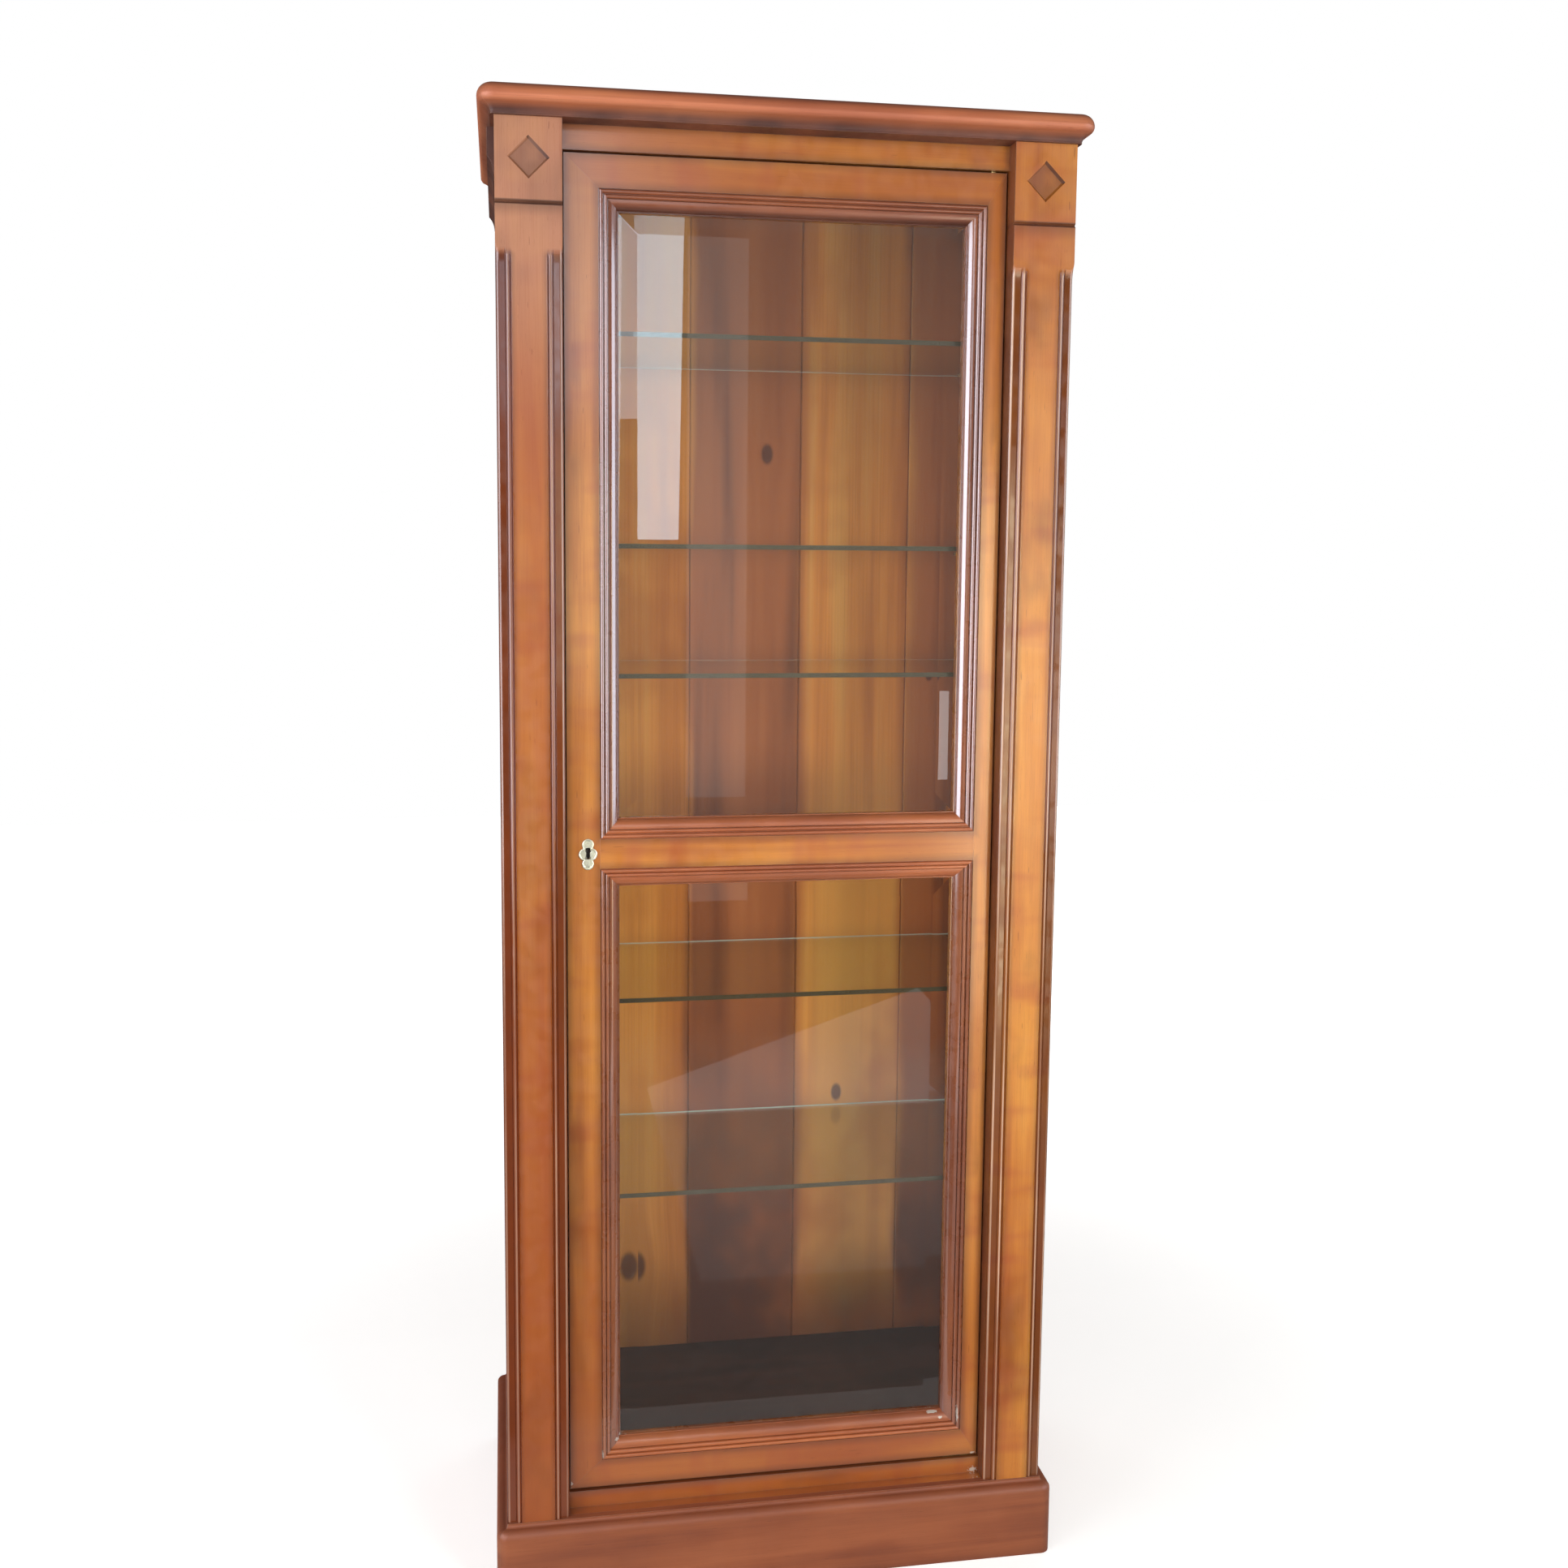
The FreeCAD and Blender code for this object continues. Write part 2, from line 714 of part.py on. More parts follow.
def strike_room():
    """Recess, bolt mortise and screw holes in the lock-side pilaster."""
    outward = point(-1, 0, 0)
    holes = [screw_body(head, outward, screw_fit) for head in strike_screw_heads()]
    depth = bolt_travel + bolt_end_space
    return [strike_box(0), bolt_box(bolt_clearance, -inner_x - depth, -inner_x)] + holes


def make_lock():
    case_back = door_y + door_thickness - lock_plate_thickness
    case = lock_case_box(0).cut([lock_case_box(lock_wall),
                                 keyhole(lock_front_y, case_back, 0),
                                 bolt_box(bolt_clearance, -door_x, -door_x + lock_wall)])
    plate = lock_plate_box(0)
    plate = plate.cut([screw_body(head, point(0, -1, 0), screw_fit) for head in lock_screw_heads()])
    save("lock_case", case)
    save("lock_plate", plate)
    save("lock_bolt", bolt_box(0, -door_x, -door_x + bolt_length))
    strike = strike_box(0).cut([bolt_box(bolt_clearance, -inner_x - bolt_travel, -inner_x)]
                               + [screw_body(head, point(-1, 0, 0), screw_fit)
                                  for head in strike_screw_heads()])
    save("strike_plate", strike)


def make_escutcheon():
    """Plate of four lobes with a raised rim, and the keyhole through it."""
    def lobes(inset, y0, y1):
        discs = []
        for hand in (-1, 1):
            end = point(keyhole_x, y0, mid_rail_height + lobe_rise * hand)
            side = point(keyhole_x + side_lobe_out * hand, y0, mid_rail_height)
            discs.append(cylinder(lobe_radius - inset, y1 - y0, end, point(0, 1, 0)))
            discs.append(cylinder(side_lobe_radius - inset, y1 - y0, side, point(0, 1, 0)))
        return discs[0].fuse(discs[1:]).removeSplitter()

    plate_y = door_y - escutcheon_thickness
    rim_y = plate_y - escutcheon_rim_height
    plate = lobes(0, rim_y, door_y).cut(lobes(escutcheon_rim_width, rim_y, plate_y))
    save("escutcheon", plate.cut(keyhole(rim_y, door_y, 0)))


# Door frame

def make_door_frame():
    """Stiles and rails with mitred outer corners, and a straight middle rail."""
    back = door_y + door_thickness
    lock_stile = front_prism([(-door_x, door_low), (field_left, field_low), (field_left, field_high),
                              (-door_x, door_high)], door_y, back)
    hinge_stile = front_prism([(door_x, door_low), (field_right, field_low),
                               (field_right, field_high), (door_x, door_high)], door_y, back)
    top_rail = front_prism([(-door_x, door_high), (field_left, field_high),
                            (field_right, field_high), (door_x, door_high)], door_y, back)
    low_rail = front_prism([(-door_x, door_low), (field_left, field_low),
                            (field_right, field_low), (door_x, door_low)], door_y, back)
    mid_rail = box(field_left, field_right, door_y, back, mid_low, mid_high)
    top_room = door_leaf_room(door_high, -1)
    low_room = door_leaf_room(door_low, 1)
    save("door_lock_stile", lock_stile.cut(lock_room()))
    save("door_hinge_stile", hinge_stile.cut(top_room + low_room))
    save("door_top_rail", top_rail.cut(top_room))
    save("door_bottom_rail", low_rail.cut(low_room))
    save("door_mid_rail", mid_rail)


def mitred_frame(steps, depth_low, depth_high, width, x0, x1, z0, z1):
    """Four mitred pieces round a rectangle. Steps go across from its edge and back from the door's face."""
    pieces = {}
    corners = {"bottom": (x0, z0, 0, x1 - x0), "right": (x1, z0, -90, z1 - z0),
               "top": (x1, z1, 180, x1 - x0), "left": (x0, z1, 90, z1 - z0)}
    for name, (x, z, turn, length) in corners.items():
        bar = prism(steps, lambda across, depth: point(0, door_y + depth, across), point(length, 0, 0))
        mitre = front_prism([(0, 0), (length, 0), (length - width, width), (width, width)],
                            door_y + depth_low, door_y + depth_high)
        piece = bar.common(mitre)
        piece.rotate(point(0, 0, 0), point(0, 1, 0), turn)
        piece.translate(point(x, 0, z))
        pieces[name] = piece
    return pieces


def moulding_steps():
    """Two beads and a large ovolo that fall from the door's face to the glass."""
    first = outer_quirk
    bead_end = first + outer_bead
    second = bead_end + valley_width
    second_end = second + inner_bead
    ovolo = second_end + valley_width
    sight = moulding_width - sight_fillet
    bulge = (ovolo + (sight - ovolo) * ovolo_bulge_share[0],
             ovolo_start_depth + (ovolo_end_depth - ovolo_start_depth) * ovolo_bulge_share[1])
    return [(0, door_thickness), (0, outer_quirk_depth), (first, outer_quirk_depth), (first, bead_foot),
            ((first + outer_bead / 2, -moulding_proud), (bead_end, bead_foot)),
            (bead_end, outer_valley_depth), (second, outer_valley_depth),
            ((second + inner_bead / 2, -inner_bead_crown), (second_end, inner_bead_foot)),
            (second_end, inner_valley_depth), (ovolo, inner_valley_depth), (ovolo, ovolo_start_depth),
            (bulge, (sight, ovolo_end_depth)),
            (moulding_width, ovolo_end_depth), (moulding_width, moulding_back_depth),
            (rebate_width, moulding_back_depth), (rebate_width, door_thickness)]


def bevelled_pane(x0, x1, z0, z1):
    """Pane whose front falls away to a thinner edge."""
    def rectangle(inset, y):
        corners = [point(x0 + inset, y, z0 + inset), point(x1 - inset, y, z0 + inset),
                   point(x1 - inset, y, z1 - inset), point(x0 + inset, y, z1 - inset)]
        return Part.makePolygon(corners + corners[:1])

    edge = box(x0, x1, glass_edge_y, glass_back_y, z0, z1)
    bevel = Part.makeLoft([rectangle(0, glass_edge_y),
                           rectangle(bevel_width, glass_back_y - glass_thickness)], True, True)
    return edge.fuse(bevel).removeSplitter()


def make_pane(name, z0, z1):
    """Moulding, glass and rear beads of one pane."""
    frame = mitred_frame(moulding_steps(), -moulding_proud, door_thickness, moulding_width,
                         field_left, field_right, z0, z1)
    for side, piece in frame.items():
        save(name + "_moulding_" + side, piece)
    inset = rebate_width + glass_edge_clearance
    save(name + "_glass", bevelled_pane(field_left + inset, field_right - inset, z0 + inset, z1 - inset))
    bead_depth = glass_back_y - door_y
    bead = [(0, bead_depth), (rebate_lip, bead_depth), (rebate_lip, door_thickness), (0, door_thickness)]
    beads = mitred_frame(bead, bead_depth, door_thickness, rebate_lip,
                         field_left + rebate_width, field_right - rebate_width,
                         z0 + rebate_width, z1 - rebate_width)
    save(name + "_glass_beads", *beads.values())


def make_screws():
    frame = [screw(head, point(0, 0, 1)) for head in leaf_screw_heads(frieze_z)]
    frame += [screw(head, point(0, 0, -1)) for head in leaf_screw_heads(sill_z)]
    frame += [screw(head, point(-1, 0, 0)) for head in strike_screw_heads()]
    door = [screw(head, point(0, 0, -1)) for head in leaf_screw_heads(door_high)]
    door += [screw(head, point(0, 0, 1)) for head in leaf_screw_heads(door_low)]
    door += [screw(head, point(0, -1, 0)) for head in lock_screw_heads()]
    save("frame_screws", *frame)
    save("door_screws", *door)


os.makedirs("parts", exist_ok=True)

pilaster = make_pilaster()
save("pilaster_right", pilaster)
save("pilaster_left", mirrored(pilaster).cut(strike_room()))
make_cornice()
make_plinth()
make_side()
make_front_rails()
make_liners()
make_floor()
save("ceiling_board", board_with_post_notches(pilaster_back_y, frieze_z, frieze_z + ceiling_thickness))
make_back()
make_shelves()
make_hinges()
make_lock()
make_escutcheon()
make_door_frame()
make_pane("upper", mid_high, field_high)
make_pane("lower", field_low, mid_low)
make_screws()
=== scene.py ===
import math

import bpy
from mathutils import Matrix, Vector


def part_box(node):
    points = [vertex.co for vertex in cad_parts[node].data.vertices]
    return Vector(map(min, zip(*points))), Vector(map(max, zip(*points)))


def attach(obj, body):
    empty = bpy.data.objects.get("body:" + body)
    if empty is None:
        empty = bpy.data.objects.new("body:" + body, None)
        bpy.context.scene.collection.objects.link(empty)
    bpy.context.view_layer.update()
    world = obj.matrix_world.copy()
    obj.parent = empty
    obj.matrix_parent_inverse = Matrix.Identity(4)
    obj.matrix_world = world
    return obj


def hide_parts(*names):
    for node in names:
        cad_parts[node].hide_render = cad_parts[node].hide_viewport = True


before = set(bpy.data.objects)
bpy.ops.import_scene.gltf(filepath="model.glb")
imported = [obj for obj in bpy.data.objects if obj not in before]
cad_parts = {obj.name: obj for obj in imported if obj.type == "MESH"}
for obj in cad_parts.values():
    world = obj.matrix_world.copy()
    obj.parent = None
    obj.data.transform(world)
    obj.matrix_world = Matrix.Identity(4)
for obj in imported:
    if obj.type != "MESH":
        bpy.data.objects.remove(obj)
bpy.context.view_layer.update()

# Places in the part, in metres. The door faces -Y.
FACE_Y = -0.175
DOOR_Y = -0.149
HALF_WIDTH = 0.360
INNER_X = 0.280
PILASTER_MIDDLE = (HALF_WIDTH + INNER_X) / 2
HEIGHT = 1.900
CORNICE_NOSE_Z = HEIGHT - 0.025
DIAMOND_Z = HEIGHT - 0.081
DIAMOND_HALF = 0.025
GROOVE_Z = HEIGHT - 0.133
ARRIS_TOP_Z = HEIGHT - 0.196
ARRIS_WIDTH = 0.0185
BEAD_MIDDLE = 0.0147
CORNER_MIDDLE = 0.0024
SHELF_COUNT = 5
SHELF_FRONT_Y = -0.113
SHELF_BACK_Y = 0.175
SHELF_SIDE_X = 0.313
EDGE_DEPTH = 0.0002
BACK_BOARD_WIDTH = 0.165
BACK_BOARD_COUNT = 5
KEYHOLE_X = -0.2515
KEYHOLE_Z = 0.981
PLATE_Z = 0.976

# Camera, fitted to the photograph's frame
FRAME_PIXELS = 1932
FOCAL_PIXELS = 1812.7
SENSOR = 36.0
CAMERA_PLACE = (-0.3541, -1.9875, 1.3328)
CAMERA_DEGREES = (84.1697, -0.3409, -8.7175)
CAMERA_SHIFT = (0.0345, -0.0397)

# Samples of the nodes that look around a point
CORNER_SAMPLES = 6
FINE_SAMPLES = 10
BEVEL_SAMPLES = 4

# How far the pieces' textures lie apart
OWN_SHIFT = 7.3
BOARD_SHIFT = 3.7


def srgb(red, green, blue):
    """Linear colour of a colour written in 0 to 255."""
    def linear(value):
        share = value / 255
        return share / 12.92 if share <= 0.04045 else ((share + 0.055) / 1.055) ** 2.4
    return (linear(red), linear(green), linear(blue), 1.0)


# Woods, each with a light, a middle and a deep tone
LIGHT, MID, DEEP = range(3)
FLAT = (srgb(238, 168, 72), srgb(214, 134, 48), srgb(158, 74, 28))
UPRIGHT_MOULDING = (srgb(188, 116, 66), srgb(152, 84, 50), srgb(98, 48, 32))
LEVEL_MOULDING = (srgb(212, 128, 72), srgb(184, 100, 56), srgb(116, 56, 34))
CORNICE = (srgb(228, 144, 96), srgb(206, 118, 77), srgb(136, 62, 40))
PLINTH = (srgb(176, 102, 62), srgb(150, 80, 46), srgb(104, 50, 32))
INSIDE = (srgb(132, 78, 42), srgb(98, 56, 34), srgb(64, 36, 26))
# Dark as painted shade on the cabinet's floor
FLOOR_BOARD_SHADE = (srgb(92, 58, 42), srgb(66, 42, 34), srgb(46, 30, 26))
HONEY = (srgb(254, 196, 104), srgb(244, 160, 70), srgb(182, 98, 42))
UMBER = (srgb(200, 124, 70), srgb(176, 102, 56), srgb(84, 44, 32))

# Stains and wear, and colours that also paint light: the arris red and the glaze also paint shade, the worn
# pale also paints highlights, and the haze paints a reflection
FLAT_RED = srgb(176, 84, 42)
ARRIS_RED_AND_SHADE = srgb(124, 58, 40)
GLAZE_AND_SHADE = srgb(56, 28, 22)
WORN_AND_HIGHLIGHT = srgb(240, 198, 170)
REFLECTED_HAZE = srgb(226, 184, 160)
CHIP = srgb(206, 198, 188)

# Glass and metal
PANE_TINT = srgb(248, 251, 249)
SHELF_TINT = srgb(228, 242, 234)
SHELF_FRONT = srgb(74, 62, 36)
SHELF_GROUND = srgb(206, 226, 214)
BRASS = (srgb(206, 176, 122), srgb(140, 112, 70))
PALE_BRASS = (srgb(250, 246, 220), srgb(214, 204, 166))
STEEL = (srgb(176, 174, 170), srgb(122, 118, 112))
METAL_DIRT = srgb(44, 34, 24)


class Shader:
    """Short way to write one material's nodes."""

    def __init__(self, name):
        self.material = bpy.data.materials.new(name)
        self.material.use_nodes = True
        self.tree = self.material.node_tree
        self.tree.nodes.clear()
        self.place = self.add("TexCoord").outputs["Object"]

    def feed(self, socket, value):
        if isinstance(value, bpy.types.NodeSocket):
            self.tree.links.new(value, socket)
        else:
            socket.default_value = value

    def add(self, kind, inputs=None, **settings):
        node = self.tree.nodes.new("ShaderNode" + kind)
        for key, value in settings.items():
            setattr(node, key, value)
        for key, value in (inputs or {}).items():
            self.feed(node.inputs[key], value)
        return node

    def math(self, operation, first, second=0.0):
        return self.add("Math", {0: first, 1: second}, operation=operation).outputs[0]

    def joined(self, operation, values):
        result = values[0]
        for value in values[1:]:
            result = self.math(operation, result, value)
        return result

    def largest(self, *values):
        return self.joined("MAXIMUM", values)

    def smallest(self, *values):
        return self.joined("MINIMUM", values)

    def times(self, *values):
        return self.joined("MULTIPLY", values)

    def plus(self, *values):
        return self.joined("ADD", values)

    def minus(self, first, second):
        return self.math("SUBTRACT", first, second)

    def over(self, first, second):
        return self.math("DIVIDE", first, second)

    def above(self, first, second):
        """1 where the first is greater."""
        return self.math("GREATER_THAN", first, second)

    def below(self, first, second):
        """1 where the first is less."""
        return self.math("LESS_THAN", first, second)

    def absolute(self, value):
        return self.math("ABSOLUTE", value)

    def axis(self, name):
        if not hasattr(self, "split"):
            self.split = self.add("SeparateXYZ", {0: self.place})
        return self.split.outputs[name]

    def remap(self, value, low, high, start=0.0, end=1.0):
        """Value from low to high becomes start to end, eased, and held outside them."""
        return self.add("MapRange", {"Value": value, "From Min": low, "From Max": high,
                                     "To Min": start, "To Max": end},
                        interpolation_type="SMOOTHSTEP").outputs[0]

    def stretched(self, scale, shift=0.0):
        """Place in the part, scaled along each axis, and moved by a number of the piece's own."""
        own = self.add("ObjectInfo").outputs["Random"]
        offset = self.plus(self.times(own, OWN_SHIFT), shift)
        moved = self.add("VectorMath", {0: self.place, 1: offset}, operation="ADD")
        return self.add("VectorMath", {0: moved.outputs[0], 1: scale}, operation="MULTIPLY").outputs[0]

    def noise(self, scale, detail=2.0, roughness=0.5, distortion=0.0, shift=0.0):
        return self.add("TexNoise", {"Vector": self.stretched(scale, shift), "Scale": 1.0,
                                     "Detail": detail, "Roughness": roughness,
                                     "Distortion": distortion}).outputs[0]

    def mix(self, share, first, second):
        node = self.add("Mix", data_type="RGBA")
        for key, value in (("Factor_Float", share), ("A_Color", first), ("B_Color", second)):
            self.feed(next(s for s in node.inputs if s.identifier == key), value)
        return next(s for s in node.outputs if s.identifier == "Result_Color")

    def ramp(self, value, stops):
        node = self.add("ValToRGB", {0: value})
        elements = node.color_ramp.elements
        while len(elements) < len(stops):
            elements.new(0.5)
        for element, (position, colour) in zip(elements, stops):
            element.position = position
            element.color = colour
        return node.outputs[0]

    def bump(self, height, strength, distance=0.0004):
        return self.add("Bump", {"Strength": strength, "Distance": distance, "Height": height}).outputs[0]

    def rounded(self, radius, normal):
        return self.add("Bevel", {"Radius": radius, "Normal": normal}, samples=BEVEL_SAMPLES).outputs[0]

    def occluded(self, distance, samples, inside):
        node = self.add("AmbientOcclusion", {"Distance": distance}, samples=samples, inside=inside)
        return self.minus(1.0, node.outputs["AO"])

    def crevice(self, distance, samples=CORNER_SAMPLES):
        """0 on open surfaces, towards 1 in corners and grooves."""
        return self.occluded(distance, samples, inside=False)

    def arris(self, distance, samples=CORNER_SAMPLES):
        """Towards 1 along sharp outer edges."""
        return self.occluded(distance, samples, inside=True)

    def principled(self, inputs):
        return self.add("BsdfPrincipled", inputs).outputs[0]

    def finish(self, surface):
        output = self.add("OutputMaterial")
        self.tree.links.new(surface, output.inputs["Surface"])
        return self.material


# Shapes that a material knows, seen from the front

def rectangle(*nodes):
    """Left, right, lower and upper edge of what these nodes fill."""
    boxes = [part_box(node) for node in nodes]
    return (min(low[0] for low, high in boxes), max(high[0] for low, high in boxes),
            min(low[2] for low, high in boxes), max(high[2] for low, high in boxes))


def outside(shader, edges):
    """Distance outside a rectangle, negative within it."""
    left, right, low, high = edges
    gaps = []
    for name, start, end in (("X", left, right), ("Z", low, high)):
        from_middle = shader.minus(shader.axis(name), (start + end) / 2)
        gaps.append(shader.minus(shader.absolute(from_middle), (end - start) / 2))
    return shader.largest(*gaps)


def fade(shader, edges, side, reach, strength):
    """Strength at a rectangle's edge, fading out on one side of it: 1 outside, -1 inside."""
    return shader.remap(shader.times(outside(shader, edges), side), 0.0, reach, strength, 0.0)


def squared_distance(shader, middle_x, middle_z, half_width, half_height):
    """How far across from a point, in half widths, and the square of the distance from it, counted in
    half widths and half heights."""
    across = shader.over(shader.minus(shader.axis("X"), middle_x), half_width)
    up = shader.over(shader.minus(shader.axis("Z"), middle_z), half_height)
    return across, shader.plus(shader.times(across, across), shader.times(up, up))


def spots(shader, places, ragged=0.75):
    """1 in ragged spots about these points, each given as x, z, half width and half height."""
    noise = shader.noise((420.0, 420.0, 420.0), detail=3.0, shift=9.1)
    wobble = shader.remap(noise, 0.3, 0.7, 1.0 - ragged, 1.0 + ragged)
    found = 0.0
    for place in places:
        _, distance = squared_distance(shader, *place)
        found = shader.largest(found, shader.remap(shader.times(distance, wobble), 0.7, 1.1, 1.0, 0.0))
    return found


# Wood

MOST_GLAZE = 0.92
KNOT_TALLNESS = 1.7

# For each grain, which of the axes cross it
CROSSES = {"X": (False, True, True), "Y": (True, False, True), "Z": (True, True, False)}


def along(grain, across_scale, along_scale):
    """Scale for a texture that runs with the grain."""
    return tuple(across_scale if crosses else along_scale for crosses in CROSSES[grain])


def mottled_with_painted_light(shader, base, grain, deep, strength):
    """Red bands across the grain, painted shade low down and high up, and a painted reflection: a pale haze
    over the top left corner.
    """
    x, z = shader.axis("X"), shader.axis("Z")
    bands = shader.noise(along(grain, 7.0, 20.0), detail=2.0, shift=4.9)
    base = shader.mix(shader.remap(bands, 0.50, 0.72, 0.0, strength), base, FLAT_RED)
    # Painted shade: darker low down and high up, less so towards the right.
    low = shader.times(shader.remap(z, 0.15, 1.05, 0.72, 0.0), shader.remap(x, 0.10, 0.34, 1.0, 0.30))
    high = shader.times(shader.remap(z, 1.35, 1.75, 0.0, 0.60), shader.remap(x, -0.34, 0.05, 1.0, 0.40))
    base = shader.mix(shader.largest(low, high), base, deep)
    # Painted reflection: a pale haze at the top left, as of a window in the varnish.
    reflected_haze = shader.times(shader.remap(z, 1.40, 1.76, 0.0, 0.32), shader.remap(x, -0.285, -0.275, 1.0, 0.35),
                         shader.remap(x, -0.25, -0.05, 1.0, 0.0))
    return shader.mix(reflected_haze, base, REFLECTED_HAZE)


def wood_colour(shader, grain, tones, figure=1.0, mottle=0.0, flecked=True):
    """Fine cherry grain: slow figure, fibres, short dark pores and cloudy stain."""
    light, mid, deep = tones
    slow = shader.noise(along(grain, 30.0, 1.6), detail=3.0, roughness=0.55, distortion=0.7)
    body = shader.ramp(slow, [(0.28, deep), (0.52, mid), (0.76, light)])
    base = shader.mix(0.62 * figure, mid, body)
    cloud = shader.noise(along(grain, 9.0, 3.0), detail=3.0, roughness=0.6, shift=3.1)
    base = shader.mix(shader.remap(cloud, 0.40, 0.70, 0.0, 0.42), base, deep)
    base = shader.mix(shader.remap(cloud, 0.30, 0.52, 0.30, 0.0), base, light)
    # With a mottle come red bands, painted shade low and high, and a painted reflection at the top left.
    if mottle:
        base = mottled_with_painted_light(shader, base, grain, deep, mottle)
    fibre = shader.noise(along(grain, 900.0, 14.0), detail=2.0, roughness=0.6, shift=1.7)
    base = shader.mix(shader.remap(fibre, 0.42, 0.78, 0.0, 0.20), base, deep)
    pores = shader.noise(along(grain, 1500.0, 90.0), detail=1.0, shift=5.9)
    dark = shader.remap(pores, 0.66, 0.80, 0.0, 0.26)
    if flecked:
        flecks = shader.noise(along(grain, 420.0, 38.0), detail=1.0, shift=8.3)
        dark = shader.largest(dark, shader.remap(flecks, 0.74, 0.80, 0.0, 0.40))
    return shader.mix(dark, base, shader.mix(0.5, deep, GLAZE_AND_SHADE)), fibre, pores


def varnished(shader, colour, fibre, pores, roughness=0.38, coat=0.7, coat_roughness=0.16,
              coat_ior=1.5, ior=1.5, softness=0.0009, relief_strength=0.10, polish=None):
    """Satin varnish over the colour, with the grain just felt through it. Polish lowers the roughness."""
    relief = shader.times(shader.plus(fibre, shader.times(pores, 0.6)), 0.5)
    soft = shader.rounded(softness, shader.bump(relief, relief_strength))
    handled = shader.noise((55.0, 55.0, 55.0), detail=3.0, shift=2.2)
    rough = shader.remap(handled, 0.3, 0.7, roughness - 0.06, roughness + 0.08)
    if polish is not None:
        rough = shader.minus(rough, polish)
    return shader.finish(shader.principled({
        "Base Color": colour, "Roughness": rough, "IOR": ior, "Coat Weight": coat,
        "Coat Roughness": coat_roughness, "Coat IOR": coat_ior, "Normal": soft}))


def glazed_and_shaded(shader, colour, amount, reach=0.010, strength=0.70, broad_shade=0.50, rub_and_highlight=0.45, samples=CORNER_SAMPLES):
    """Dark glaze that was left in corners and grooves, painted shade in a wide band round inner corners, and
    arrises made paler, partly by wear and partly as a painted highlight.
    """
    patches = shader.noise((14.0, 14.0, 14.0), detail=2.0, shift=4.4)
    corner = shader.remap(shader.crevice(reach, samples), 0.20, 0.95, 0.0, strength)
    # Painted shade: a wide darkening within a few centimetres of inner corners.
    painted_broad_shade = shader.remap(shader.crevice(0.035, samples), 0.22, 0.90, 0.0, broad_shade)
    total = shader.largest(corner, painted_broad_shade, shader.times(amount, shader.remap(patches, 0.3, 0.7, 0.88, 1.1)))
    colour = shader.mix(shader.smallest(total, MOST_GLAZE), colour, GLAZE_AND_SHADE)
    # Arrises made paler: partly wear, partly a painted highlight.
    rubbed_and_highlight = shader.times(shader.remap(shader.arris(0.0011, samples), 0.30, 0.85, 0.0, rub_and_highlight),
                          shader.remap(patches, 0.35, 0.6, 0.6, 1.0))
    return shader.mix(rubbed_and_highlight, colour, WORN_AND_HIGHLIGHT)


def stained(shader, outer):
    """Clouds of darker stain that come in from the edges."""
    cloud = shader.noise((7.0, 7.0, 5.0), detail=3.0, roughness=0.6, shift=7.7)
    return shader.times(shader.remap(cloud, 0.50, 0.68, 0.0, 0.38), fade(shader, outer, -1, 0.032, 1.0))


def plain_cherry(name, grain, **finish):
    shader = Shader(name)
    colour, fibre, pores = wood_colour(shader, grain, FLAT, mottle=0.42)
    return varnished(shader, glazed_and_shaded(shader, colour, 0.0), fibre, pores, coat=0.0, **finish)


def panelled_cherry(name, grain, outer, inner=(), chips=()):
    """Cherry whose glaze fades away from its outer edge and from the mouldings set in it. The darkening at
    these edges is partly glaze and partly painted shade where the parts meet, as on the frieze under the
    cornice.
    """
    shader = Shader(name)
    colour, fibre, pores = wood_colour(shader, grain, FLAT, mottle=0.48)
    # Edge darkening: partly glaze, partly painted shade where parts meet.
    amount = shader.largest(fade(shader, outer, -1, 0.012, 0.40), fade(shader, outer, -1, 0.0035, 0.62),
                            stained(shader, outer), *[fade(shader, edges, 1, 0.012, 0.40) for edges in inner])
    colour = glazed_and_shaded(shader, colour, amount)
    if chips:
        colour = shader.mix(shader.times(spots(shader, chips), 0.7), colour, CHIP)
    return varnished(shader, colour, fibre, pores)


class PilasterPlaces:
    """Where a point lies on a pilaster, as the pilasters' material asks for it."""

    def __init__(self, shader):
        from_middle = shader.absolute(shader.axis("X"))
        self.from_inner = shader.minus(from_middle, INNER_X)
        self.from_side = shader.smallest(self.from_inner, shader.minus(HALF_WIDTH, from_middle))
        self.depth = shader.minus(shader.axis("Y"), FACE_Y)
        self.below_top = shader.remap(shader.axis("Z"), ARRIS_TOP_Z, ARRIS_TOP_Z + 0.012, 1.0, 0.0)


def red_and_shaded_arrises(shader, places):
    """The moulded arrises in dark red stain; that the outer ones are redder than the inner, and the left ones
    than the right, is painted shade.
    """
    return shader.times(shader.remap(places.from_side, ARRIS_WIDTH, ARRIS_WIDTH + 0.001, 1.0, 0.0),
                        places.below_top, shader.remap(places.from_inner, 0.030, 0.050, 0.66, 0.90),
                        shader.remap(shader.axis("X"), -INNER_X, INNER_X, 1.0, 0.72))


def diamond_highlights(shader):
    """Painted highlight: a small spot above and right of each diamond's middle, where the glaze is taken
    away.
    """
    patches = [(hand * PILASTER_MIDDLE + 0.004, hand * PILASTER_MIDDLE + 0.007,
                DIAMOND_Z + 0.002, DIAMOND_Z + 0.006) for hand in (-1, 1)]
    return shader.largest(*[fade(shader, edges, 1, 0.012, 0.30) for edges in patches])


